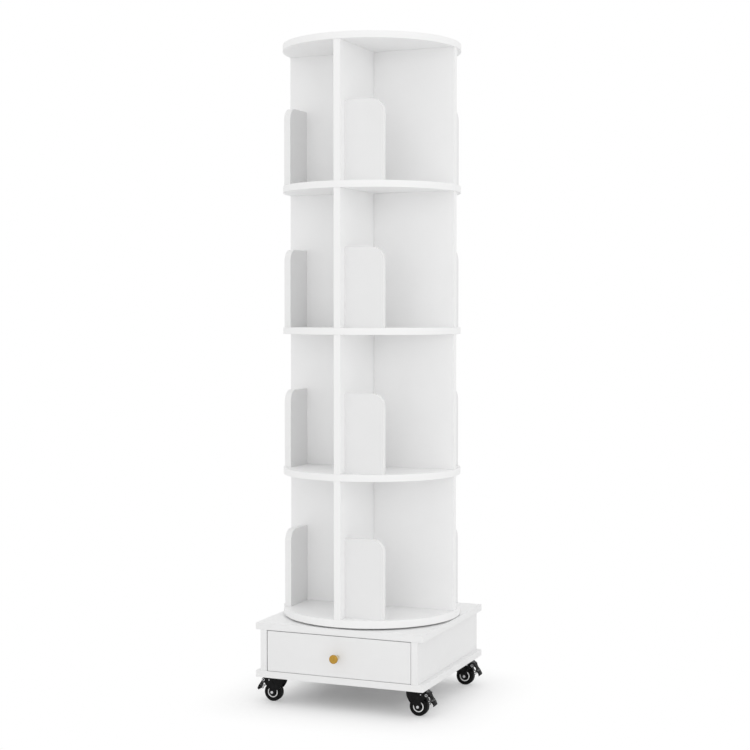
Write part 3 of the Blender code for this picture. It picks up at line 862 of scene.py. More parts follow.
class Look(Enum):
    """Finishes of this bookcase, each with the material slot that it belongs to."""

    # The white boards are one laminate in lit and shaded copies. The tower's boards are lighter,
    # painted light against the shade in the compartments. The book stops are darker with paler
    # edges, painted shade against the front light. The base top's face is lighter over the base's
    # edge tone, painted light against the tower's shadow.
    TOWER_BOARD = (Slot.WHITE_BOARD, WhiteLaminate("tower_laminate_painted_light"))
    STOP_BOARD = (Slot.WHITE_BOARD, WhiteLaminate("stop_laminate_painted_shade", grey(0.86), (0.9, 0.9, 0.898)))
    BASE_BOARD = (Slot.WHITE_BOARD, WhiteLaminate("base_laminate", grey(0.885), BASE_EDGE))
    BASE_LID = (Slot.WHITE_BOARD, WhiteLaminate("lid_laminate_painted_light", grey(0.93), BASE_EDGE))
    DRAWER_BOX = (Slot.DRAWER_BOARD, PaperBoard())
    RUNNER = (Slot.RUNNER_PLASTIC, MouldedPlastic())
    HUB_RING = (Slot.RUNNER_PLASTIC, MouldedPlastic("hub_ring_plastic", grey(0.88), grey(0.8)))
    KNOB_HEAD = (Slot.KNOB_BRASS, SatinBrass())
    # The stem's brass is painted pale, a painted reflection of the white drawer front in the
    # polished neck.
    KNOB_STEM = (Slot.KNOB_BRASS, SatinBrass("brass_painted_reflection", (0.8, 0.74, 0.58), (0.72, 0.66, 0.5)))
    ZINC = (Slot.ZINC_STEEL, ZincPlate())
    RIVET = (Slot.ZINC_STEEL, ZincPlate("rivet_zinc", (0.66, 0.66, 0.67), (0.5, 0.51, 0.53)))
    SPRING = (Slot.ZINC_STEEL, ZincPlate("spring_steel", (0.07, 0.07, 0.073), (0.04, 0.04, 0.042)))
    PAINT = (Slot.BLACK_METAL, BlackCoat())
    PEDAL = (Slot.BLACK_METAL, PedalPaint())
    TYRE = (Slot.BLACK_TYRE, DUSTY_RUBBER)

    @property
    def slot(self) -> Slot:
        """Material slot of the record."""
        return self.value[0]

    @property
    def finish(self) -> Finish:
        """The finish itself."""
        return self.value[1]


class Workshop:
    """Turns drafts into dressed pieces that ride on the bodies of the frame."""

    def __init__(self, frame: dict[str, Any]) -> None:
        """Makes the materials.

        Args:
            frame: The loaded frame.
        """
        self.frame = frame
        self.materials = {look: look.finish.make() for look in Look}

    def keep(self, draft: Draft, name: str, body: str, look: Look, *nodes: str) -> bpy.types.Object:
        """Makes a piece of a draft, dresses it and lets it ride on a body.

        Args:
            draft: Surfaces of the piece.
            name: Name of the piece.
            body: Body that it rides on.
            look: Its finish.
            nodes: Nodes of the frame that it stands for.

        Returns:
            The piece.
        """
        piece = draft.to_object(name)
        piece.data.materials.append(self.materials[look])
        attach(piece, body)
        if nodes:
            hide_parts(*nodes)
        LOG.info("%s rides on %s, %d faces", name, body, len(piece.data.polygons))
        return piece

    def keep_board(self, draft: Draft, node: str, body: str, look: Look) -> None:
        """Makes the board that stands for a node, under the node's name."""
        self.keep(draft, f"{node}_board", body, look, node)

    def dress(self, look: Look, *nodes: str) -> None:
        """Gives nodes of the frame their finish.

        Args:
            look: The finish.
            nodes: Nodes of the frame.
        """
        for node in nodes:
            for place in self.frame["nodes"][node].material_slots:
                place.material = self.materials[look]
            LOG.info("%s keeps its solid, finish %s", node, look.finish.name)


def span(node: str) -> tuple[Array, Array]:
    """Lowest and highest corner of a node of the frame."""
    low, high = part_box(node)
    return np.array(low), np.array(high)


def board(node: str, axis: Axis, rise: float = 0.0, rounding: float = FINE_EDGE) -> Draft:
    """A plain board in the place of a node, with rounded edges and corners.

    Args:
        node: Node of the frame.
        axis: Axis of the thickness.
        rise: What it goes past the solid below and above, to meet the boards there.
        rounding: Radius of the edges.

    Returns:
        The draft.
    """
    low, high = span(node)
    low[2], high[2] = low[2] - rise, high[2] + rise
    a, b = (axis.value + 1) % 3, (axis.value + 2) % 3
    corners = [(low[a], low[b]), (high[a], low[b]), (high[a], high[b]), (low[a], high[b])]
    outline = Outline.polygon(corners, CORNER_SHARE * rounding, EDGE_STEPS)
    return slab(outline, axis, low[axis.value], high[axis.value], rounding)


class Assembly(ABC):
    """A part of the bookcase that builds its own pieces."""

    @abstractmethod
    def build(self, shop: Workshop) -> None:
        """Builds and dresses the pieces."""


@dataclass
class ShelfTower(Assembly):
    """The turning tower: discs, crosses of dividers, and book stops."""

    body: str = "tower"
    tiers: int = 4
    rim_steps: int = 240
    corner: float = CORNER_SHARE * FINE_EDGE
    slot_room: float = 0.3 * MM
    stop_corner: float = 27 * MM
    stop_steps: int = 14

    def disc(self, node: str) -> Draft:
        """A round board in the place of a node.

        Args:
            node: Node of the disc.

        Returns:
            The draft.
        """
        low, high = span(node)
        rim = Outline.circle((low + high)[:2] / 2, (high - low)[0] / 2, self.rim_steps)
        return slab(rim, Axis.Z, low[2], high[2], SOFT_EDGE)

    def divider(self, node: str, thin: Axis, crossing: str, slot_on_top: bool) -> Draft:
        """An upright board with a slot to half its height for the board that crosses it.

        Args:
            node: Node of the board.
            thin: Axis across which it is thin.
            crossing: Node of the board that crosses it.
            slot_on_top: Whether the slot is in the upper half.

        Returns:
            The draft.
        """
        low, high = span(node)
        other_low, other_high = span(crossing)
        run = 1 - thin.value
        left, right = low[run], high[run]
        bottom, top = low[2] - JOINT_GAP, high[2] + JOINT_GAP
        start, end = other_low[run] - self.slot_room, other_high[run] + self.slot_room
        mouth, depth = top if slot_on_top else bottom, (bottom + top) / 2
        notch = [(start, mouth), (start, depth), (end, depth), (end, mouth)]
        if slot_on_top:
            line = [(left, bottom), (right, bottom), (right, top), *notch[::-1], (left, top)]
        else:
            line = [(left, bottom), *notch, (right, bottom), (right, top), (left, top)]
        outline = Outline.upright(line, [self.corner] * len(line), EDGE_STEPS, thin)
        return slab(outline, thin, low[thin.value], high[thin.value])

    def stop(self, node: str, side: Side) -> Draft:
        """A book stop: an upright board whose free top corner is a wide arc.

        Its foot and its fixed end go on to the boards beside them.

        Args:
            node: Node of the stop.
            side: Side of the tower that it stands on.

        Returns:
            The draft.
        """
        low, high = span(node)
        thin = side.thin
        run = 1 - thin.value
        start, end, bottom, top = low[run], high[run], low[2] - JOINT_GAP, high[2]
        if side.free_end_high:
            start -= JOINT_GAP
        else:
            end += JOINT_GAP
        line = [(start, bottom), (end, bottom), (end, top), (start, top)]
        radii = [self.corner] * len(line)
        radii[2 if side.free_end_high else 3] = self.stop_corner
        outline = Outline.upright(line, radii, self.stop_steps, thin)
        return slab(outline, thin, low[thin.value], high[thin.value])

    def build(self, shop: Workshop) -> None:
        """Builds and dresses the discs, and the boards of every tier.

        Args:
            shop: Workshop that keeps the pieces.
        """
        for level in range(1, self.tiers + 2):
            node = f"shelf_disc_{level}"
            shop.keep_board(self.disc(node), node, self.body, Look.TOWER_BOARD)
        for tier in range(1, self.tiers + 1):
            along_x, along_y = f"divider_x_{tier}", f"divider_y_{tier}"
            lower = self.divider(along_x, Axis.Y, along_y, True)
            shop.keep_board(lower, along_x, self.body, Look.TOWER_BOARD)
            upper = self.divider(along_y, Axis.X, along_x, False)
            shop.keep_board(upper, along_y, self.body, Look.TOWER_BOARD)
            for side in Side:
                node = f"book_stop_{tier}_{side.value}"
                shop.keep_board(self.stop(node, side), node, self.body, Look.STOP_BOARD)


@dataclass
class BaseCase(Assembly):
    """The square base: top and bottom, sides and back, the runners and the bearing rings."""

    body: str = "base"
    plates: tuple[tuple[str, Look], ...] = (
        ("base_bottom", Look.BASE_BOARD),
        ("base_top", Look.BASE_LID),
    )
    walls: tuple[tuple[str, Axis], ...] = (
        ("base_side_left", Axis.X),
        ("base_side_right", Axis.X),
        ("base_back", Axis.Y),
    )

    def build(self, shop: Workshop) -> None:
        """Builds the boards and dresses the hidden nodes.

        Args:
            shop: Workshop that keeps the pieces.
        """
        for node, look in self.plates:
            shop.keep_board(board(node, Axis.Z, rounding=SOFT_EDGE), node, self.body, look)
        for node, axis in self.walls:
            shop.keep_board(board(node, axis, JOINT_GAP), node, self.body, Look.BASE_BOARD)
        shop.dress(Look.RUNNER, "runner_left", "runner_right")
        shop.dress(Look.ZINC, "bearing_lower_ring", "bearing_upper_ring")


@dataclass
class DrawerKnob(Assembly):
    """The turned knob: a head, a stem in front of the drawer, and a screw behind it."""

    body: str = "drawer"
    radius: float = 9.6 * MM
    head_shape: tuple[Pair, ...] = ((0.0, 1.0), (0.8, 0.992), (1.0, 0.95), (1.0, 0.8))
    head_radii: tuple[float, ...] = (6.0, 1.1, 1.6, 0.3, 0.1)
    cone_end: float = 0.58
    head_back: float = 0.575
    stem_shape: tuple[float, ...] = (0.6, 0.09, 0.03, 0.012)
    stem_radii: tuple[float, ...] = (0.1, 2.0, 0.3, 0.2, 0.1, 0.1, 0.1, 0.4, 0.3)
    neck_radius: float = 4.2 * MM
    neck_room: float = 0.4 * MM
    neck_sunk: float = 1.0 * MM
    foot_radius: float = 4.8 * MM
    screw_radius: float = 2.0 * MM
    screw_head: float = 4.0 * MM
    screw_height: float = 2.5 * MM
    screw_bevel: Pair = (0.8 * MM, 0.5 * MM)
    arc_steps: int = 6
    steps: int = 72

    @property
    def front_face(self) -> float:
        """Y of the drawer's front face."""
        return span("drawer_front")[0][1]

    def along_knob(self, corners: Line, radii: Sequence[float]) -> Draft:
        """A rounded profile turned about the knob's axis.

        Args:
            corners: Radius and reach in front of the drawer of each corner, in metres.
            radii: Radius of each inner corner, in millimetres.

        Returns:
            The draft.
        """
        low, high = span("drawer_knob")
        middle = (0.0, self.front_face, (low[2] + high[2]) / 2)
        line = rounded_line(corners, np.array(radii) * MM, self.arc_steps) * FLIPPED
        return Draft().grid(turned(line, Axis.Y, middle, self.steps), wrapped=True)

    def head(self) -> Draft:
        """The head: a nearly flat face with a small round edge, and a cone back to the neck.

        The corners of the face are shares of the head's radius and of its reach.

        Returns:
            The draft.
        """
        reach = self.front_face - span("drawer_knob")[0][1]
        neck, back = self.neck_radius, self.head_back * reach
        corners = [(self.radius * r, reach * z) for r, z in self.head_shape]
        corners += [(neck + self.neck_room, self.cone_end * reach)]
        corners += [(neck - self.neck_sunk, back), (0.0, back)]
        return self.along_knob(corners, self.head_radii)

    def stem(self) -> Draft:
        """The stem: neck and foot in front of the drawer, and the screw with its head behind.

        The ends of neck and foot are shares of the knob's reach.

        Returns:
            The draft.
        """
        low, high = span("drawer_knob")
        reach, back = self.front_face - low[1], high[1] - self.front_face
        neck, foot = self.neck_radius, self.foot_radius
        screw, head = self.screw_radius, self.screw_head
        neck_top, neck_end, foot_top, sole = (share * reach for share in self.stem_shape)
        under, (bevel, rise) = self.screw_height - back, self.screw_bevel
        corners = [(0.0, neck_top), (neck, neck_top), (neck, neck_end)]
        corners += [(foot, foot_top), (foot, sole), (screw, sole)]
        corners += [(screw, under), (head, under), (head, -back + rise)]
        corners += [(head - bevel, -back), (0.0, -back)]
        return self.along_knob(corners, self.stem_radii)

    def build(self, shop: Workshop) -> None:
        """Builds and dresses the head and the stem."""
        shop.keep(self.head(), "drawer_knob_head", self.body, Look.KNOB_HEAD, "drawer_knob")
        shop.keep(self.stem(), "drawer_knob_stem", self.body, Look.KNOB_STEM)


@dataclass
class Drawer(Assembly):
    """The drawer: its front board, its knob and its box, which keeps its solids."""

    body: str = "drawer"
    front_right: float = 1.0 * MM
    front_top: float = 1.5 * MM
    box: tuple[str, ...] = ("drawer_side_left", "drawer_side_right", "drawer_back", "drawer_bottom")

    def front(self) -> Draft:
        """The front board, drawn larger to the right and to the top, where its gap is finer.

        Returns:
            The draft.
        """
        low, high = span("drawer_front")
        right, top = high[0] + self.front_right, high[2] + self.front_top
        corners = [(low[2], low[0]), (top, low[0]), (top, right), (low[2], right)]
        outline = Outline.polygon(corners, CORNER_SHARE * SOFT_EDGE, EDGE_STEPS)
        return slab(outline, Axis.Y, low[1], high[1], SOFT_EDGE)

    def build(self, shop: Workshop) -> None:
        """Builds the front and the knob, and dresses the box.

        Args:
            shop: Workshop that keeps the pieces.
        """
        shop.keep_board(self.front(), "drawer_front", self.body, Look.BASE_BOARD)
        DrawerKnob().build(shop)
        shop.dress(Look.DRAWER_BOX, *self.box)


@dataclass
class CasterPart(Assembly):
    """A part of one swivel caster with a brake. Lengths are in millimetres.

    X runs from the kingpin to the wheel, Y along the axle and Z up. Axle and pivot, the pin of the
    brake pedal, are places in X and Z.
    """

    corner: Corner
    axle: Pair = (20.0, 20.5)
    axle_radius: float = 3.0
    wheel_radius: float = 20.5
    pivot: Pair = (40.0, 47.5)
    fork_half: float = 12.5
    rivet_head: float = 1.6

    @property
    def name(self) -> str:
        """Start of the names of this caster's nodes."""
        return f"caster_{self.corner.code}"

    def world(self, points: Array) -> Array:
        """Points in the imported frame: half a turn about Z where the caster trails to the left.

        Args:
            points: Points of the caster, shape (..., 3).

        Returns:
            Points in metres.
        """
        low, high = span(f"{self.name}_plate")
        way = np.array([self.corner.way, self.corner.way, 1.0])
        return points * way * MM + (low + high) / 2 * (1.0, 1.0, 0.0)

    def turned_y(self, draft: Draft, profile: Array, pin: Pair, steps: int) -> Draft:
        """Adds a profile that is turned about a pin along Y."""
        grid = turned(profile, Axis.Y, (pin[0], 0.0, pin[1]), steps)
        return draft.grid(self.world(grid), wrapped=True)


@dataclass
class CasterPlate(CasterPart):
    """The top plate, which keeps its solid, and its four screws."""

    plate_low: float = 57.7
    screw_x: float = 16.0
    screw_y: float = 14.0
    screw_radius: float = 3.4
    screw_height: float = 1.8
    dome_share: float = 0.45
    arm_width: float = 0.42
    arm_end: Pair = (1.5, 2.1)
    arm_depth: float = 1.0
    fine_radius: float = 2.4
    ring_step: float = 0.2
    fine_rings: int = 13
    rim_rings: int = 6
    steps: int = 48

    def screws(self) -> Draft:
        """Four screws under the plate: domes with a cross recess.

        Height(r, v) = a quarter ellipse in r on a low cylinder, less a recess that is a bell curve
        across each arm of a cross and fades at the arm's end.

        Returns:
            The draft.
        """
        draft = Draft()
        inner = np.linspace(0.0, self.fine_radius, self.fine_rings)
        outer = np.linspace(self.fine_radius + self.ring_step, self.screw_radius, self.rim_rings)
        r = np.concatenate([inner, outer])[:, None]
        ring = circle_points(self.steps)
        x, y = r * ring[:, 0], r * ring[:, 1]
        bulge = np.sqrt(np.clip(1 - (r / self.screw_radius) ** 2, 0.0, 1.0))
        dome = self.screw_height * (1 - self.dome_share + self.dome_share * bulge)
        cross = np.maximum(bell(x, self.arm_width), bell(y, self.arm_width))
        recess = self.arm_depth * cross * (1 - ease(r, *self.arm_end))
        head = np.stack([x, y, recess - dome], axis=-1)
        rim = head[-1:] * (1.0, 1.0, 0.0)
        screw = np.concatenate([head, rim, 0 * rim])
        for way_x in BOTH_WAYS:
            for way_y in BOTH_WAYS:
                place = (way_x * self.screw_x, way_y * self.screw_y, self.plate_low)
                draft.grid(self.world(screw + place), wrapped=True)
        return draft

    def build(self, shop: Workshop) -> None:
        """Dresses the plate and builds its screws."""
        shop.dress(Look.ZINC, f"{self.name}_plate")
        shop.keep(self.screws(), f"{self.name}_plate_screws", "base", Look.ZINC)


@dataclass
class Fork(CasterPart):
    """The pressed fork: two cheeks, a crown over the wheel, and ears for the pedal."""

    sheet: float = 2.5
    sheet_edge: float = 0.6
    crown_top: float = 54.5
    crown_end: float = 31.0
    crown_bend: float = 2.2
    nose_reach: float = 10.5
    nose_low: float = 49.0
    knee: Pair = (2.0, 29.5)
    throat: Pair = (10.8, 25.0)
    boss_ends: Pair = (14.5, 26.0)
    boss_drop: float = 6.0
    waist: Pair = (26.8, 32.5)
    ear_foot: Pair = (43.7, 44.5)
    ear_radius: float = 4.6
    edge_radii: tuple[float, ...] = (5.0, 3.0, 4.6, 5.2, 4.0, 2.2)
    fine_ends: Pair = (28.0, 24.0)  # finer steps between these, at the waist
    fine_step: float = 0.4
    plan_points: tuple[int, ...] = (4, 17, 26)  # before the waist, at it, and on to the nose
    nose_steps: int = 32
    bend_steps: int = 5
    ear_steps: int = 24
    edge_steps: int = 8
    rows: int = 11

    @property
    def half(self) -> float:
        """Half the width between the middles of the cheeks."""
        return self.fork_half - self.sheet / 2

    @property
    def bend_low(self) -> float:
        """Height at which a cheek starts to bend into the crown."""
        return self.crown_top - self.sheet / 2 - self.crown_bend

    def lower_edge(self) -> Array:
        """Lower edge of a cheek: nose, knee, throat, axle boss, waist and pedal ear.

        Returns:
            Points in X and Z, shape (n, 2).
        """
        boss = self.axle[1] - self.boss_drop
        corners = [(-self.nose_reach, self.nose_low), self.knee, self.throat]
        corners += [(x, boss) for x in self.boss_ends]
        corners += [self.waist, self.ear_foot, (self.pivot[0] + self.ear_radius, self.pivot[1])]
        return rounded_line(corners, self.edge_radii, self.edge_steps)

    def shell(self, edge: Array) -> Array:
        """The two cheeks and the crown, as the middle surface of the sheet.

        In plan the sheet follows one cheek to the nose, half round the nose and back along the
        other cheek, with finer steps at the waist. Rows rise from the lower edge to the bend,
        follow a quarter circle into the crown and run in to the middle line.

        Args:
            edge: Lower edge of a cheek.

        Returns:
            A grid of points.
        """
        half, bend, bend_low = self.half, self.crown_bend, self.bend_low
        nose_x = self.fork_half - self.nose_reach
        (first, last), (before, at, after) = self.fine_ends, self.plan_points
        straight = [np.linspace(self.crown_end, first, before)]
        straight += [np.linspace(first - self.fine_step, last + self.fine_step, at)]
        straight = np.concatenate([*straight, np.linspace(last, nose_x, after)])
        around = np.linspace(-QUARTER, -3 * QUARTER, self.nose_steps + 1)[1:-1]
        flat = np.zeros_like(straight)
        plan_x = np.concatenate([straight, nose_x + half * np.cos(around), straight[::-1]])
        plan_y = np.concatenate([flat - half, half * np.sin(around), flat + half])
        out_x = np.concatenate([flat, np.cos(around), flat])
        out_y = np.concatenate([flat - 1, np.sin(around), flat + 1])
        rise = np.linspace(0.0, 1.0, self.rows)
        low = np.interp(plan_x, edge[:, 0], edge[:, 1])
        cheek = low + rise[:, None] * (bend_low - low)
        inward = np.linspace(0.0, 1.0, self.bend_steps + 1)[1:]
        angle = QUARTER * inward
        inset = [0 * rise, bend * (1 - np.cos(angle)), bend + (half - bend) * inward]
        inset = np.concatenate(inset)[:, None]
        top = np.concatenate([bend_low + bend * np.sin(angle), 0 * inward + bend_low + bend])
        height = np.concatenate([cheek, np.broadcast_to(top[:, None], (len(top), len(plan_x)))])
        return np.stack([plan_x - inset * out_x, plan_y - inset * out_y, height], axis=-1)

    def ear(self, edge: Array) -> Array:
        """An ear for the pedal's pin, on the middle plane.

        It goes on from a cheek between the lower edge and an upper edge, which eases down from
        the bend and then falls round the pivot on a circle.

        Args:
            edge: Lower edge of a cheek.

        Returns:
            A grid of points with Y left at zero.
        """
        pivot_x, pivot_z = self.pivot
        share = np.sin(np.linspace(0.0, QUARTER, self.ear_steps + 1))
        reach = self.crown_end + (pivot_x + self.ear_radius - self.crown_end) * share
        past = np.clip(reach - pivot_x, 0.0, self.ear_radius)
        ear_top = pivot_z + np.sqrt(self.ear_radius**2 - past**2)
        slope = ease(reach, self.crown_end, pivot_x)
        eased = self.bend_low + slope * (ear_top - self.bend_low)
        ear_top = np.where(reach < pivot_x, eased, ear_top)
        ear_low = np.interp(reach, edge[:, 0], edge[:, 1])
        ear_z = ear_low + np.linspace(0.0, 1.0, self.rows)[:, None] * (ear_top - ear_low)
        return np.stack([np.broadcast_to(reach, ear_z.shape), 0 * ear_z, ear_z], axis=-1)

    def pressing(self) -> Draft:
        """The whole pressing: the shell, and an ear on each cheek.

        Returns:
            The draft.
        """
        edge = self.lower_edge()
        draft = Draft().grid(self.world(self.shell(edge)))
        for way in BOTH_WAYS:
            draft.grid(self.world(self.ear(edge) + (0.0, way * self.half, 0.0)))
        return draft

    def build(self, shop: Workshop) -> None:
        """Builds and dresses the pressing.

        Args:
            shop: Workshop that keeps the pieces.
        """
        fork, body = f"{self.name}_fork", f"fork_{self.corner.code}"
        shell = shop.keep(self.pressing(), f"{fork}_shell", body, Look.PAINT, fork)
        thicken(shell, self.sheet, self.sheet_edge)


@dataclass
class ForkRivets(CasterPart):
    """The axle with its bright ends, and a small rivet on each cheek of the fork."""

    root: float = 0.6
    axle_dome: tuple[Pair, ...] = ((0.0, 0.0), (2.0, 0.1), (3.2, 0.9))
    small_dome: tuple[Pair, ...] = ((0.0, 0.6), (0.9, 0.65), (1.5, 1.1))
    dome_feet: Pair = (3.4, 1.6)
    dome_radii: Pair = (1.2, 0.5)
    small_rivet: Pair = (26.9, 48.0)
    dome_steps: int = 28
    axle_steps: int = 24

    def rivets(self) -> Draft:
        """Domes turned about Y, and the axle between the cheeks.

        A dome is written as radius and drop below the top of the axle's end.

        Returns:
            The draft.
        """
        draft = Draft()
        top, base = self.fork_half + self.rivet_head, self.fork_half - self.root
        domes, pins = (self.axle_dome, self.small_dome), (self.axle, self.small_rivet)
        for way in BOTH_WAYS:
            for dome, foot, pin in zip(domes, self.dome_feet, pins):
                corners = [*((r, top - drop) for r, drop in dome), (foot, base)]
                line = rounded_line(corners, self.dome_radii, EDGE_STEPS)
                line = np.concatenate([line, [(0.0, base)]]) * (1.0, way)
                self.turned_y(draft, line, pin, self.dome_steps)
        axle = [(0.0, -base), (self.axle_radius, -base), (self.axle_radius, base), (0.0, base)]
        return self.turned_y(draft, np.array(axle), self.axle, self.axle_steps)

    def build(self, shop: Workshop) -> None:
        """Builds and dresses the rivets."""
        name, body = f"{self.name}_fork_rivets", f"fork_{self.corner.code}"
        shop.keep(self.rivets(), name, body, Look.RIVET)


@dataclass
class Wheel(CasterPart):
    """The wheel: a tyre, a hub in it and a pale ring on each side of the hub."""

    half: float = 8.5
    wall_step: float = 0.3
    wall_start: float = 3.0
    crown: float = 0.15
    tyre_radii: Triple = (0.3, 0.4, 2.4)
    hub_radius: float = 14.0
    hub_recess: float = 1.5
    hub_overlap: float = 0.1
    hub_rim: Pair = (0.8, 0.5)  # width and height of its slope
    bore_room: float = 0.3
    boss_radius: float = 6.0
    boss_slope: float = 0.6
    hub_radii: tuple[float, ...] = (0.2, 0.3, 0.3, 0.5, 0.3)
    ring_inner: float = 9.7
    ring_outer: float = 11.9
    ring_root: float = 0.3
    ring_sunk: float = 0.15
    ring_rounding: float = 0.45
    shoulder_steps: int = 6
    tyre_steps: int = 96
    hub_steps: int = 72

    def tyre(self) -> Draft:
        """The tyre: a slightly crowned tread with round shoulders, on a flat wall with a step.

        Returns:
            The draft.
        """
        radius, half, hub = self.wheel_radius, self.half, self.hub_radius
        corners = [(hub, 0.0), (hub, -half + self.wall_step), (hub + self.wall_start, -half)]
        corners += [(radius - self.crown, -half), (radius, 0.0)]
        line = rounded_line(corners, self.tyre_radii, self.shoulder_steps)
        return self.turned_y(Draft(), mirrored(line), self.axle, self.tyre_steps)

    def hub(self) -> Draft:
        """The hub: a recessed disc with a raised boss round the axle, as one closed profile.

        Returns:
            The draft.
        """
        half, face = self.half, self.half - self.hub_recess
        bore, boss = self.axle_radius + self.bore_room, self.boss_radius
        rim, (wide, high) = self.hub_radius + self.hub_overlap, self.hub_rim
        corners = [(bore, 0.0), (bore, -half), (boss, -half), (boss + self.boss_slope, -face)]
        corners += [(self.hub_radius - wide, -face), (rim, -half + high), (rim, 0.0)]
        line = rounded_line(corners, self.hub_radii, EDGE_STEPS)
        return self.turned_y(Draft(), mirrored(line), self.axle, self.hub_steps)

    def rings(self) -> Draft:
        """A pale ring on each side of the hub, with a rounded section that closes on itself.

        Returns:
            The draft.
        """
        draft = Draft()
        face, top = self.half - self.hub_recess - self.ring_root, self.half - self.ring_sunk
        inner, outer = self.ring_inner, self.ring_outer
        corners = [(inner, face), (outer, face), (outer, top), (inner, top)]
        section = Outline.polygon(corners, self.ring_rounding, EDGE_STEPS)
        for way in BOTH_WAYS:
            self.turned_y(draft, section.closed * (1.0, way), self.axle, self.hub_steps)
        return draft

    def build(self, shop: Workshop) -> None:
        """Builds and dresses the tyre, the hub and its rings.

        Args:
            shop: Workshop that keeps the pieces.
        """
        name, body = self.name, f"wheel_{self.corner.code}"
        shop.keep(self.tyre(), f"{name}_tyre", body, Look.TYRE, f"{name}_wheel")
        shop.keep(self.hub(), f"{name}_hub", body, Look.TYRE)
        shop.keep(self.rings(), f"{name}_hub_rings", body, Look.HUB_RING)


@dataclass
class PedalPart(CasterPart):
    """A part that turns with the brake pedal, laid out down its slope and out of its face."""

    slope: float = math.radians(60.5)
    plate_sheet: float = 1.6
    plate_half: float = 9.4
    sheet_edge: float = 0.4

    @property
    def body(self) -> str:
        """Body of the pedal."""
        return f"pedal_{self.corner.code}"

    @property
    def slope_axes(self) -> tuple[Array, Array]:
        """Direction down the pedal and direction out of its face, in X and Z."""
        cosine, sine = math.cos(self.slope), math.sin(self.slope)
        return np.array([cosine, -sine]), np.array([sine, cosine])

    def on_pedal(self, along: Array, offset: Array, across: Array) -> Array:
        """Points given from the pivot.

        Args:
            along: Way down the pedal.
            offset: Way out of its face.
            across: Way along the pin.

        Returns:
            Points of shape (..., 3).
        """
        down, out = self.slope_axes
        side = along[..., None] * down + offset[..., None] * out + self.pivot
        return np.stack([side[..., 0], across, side[..., 1]], axis=-1)


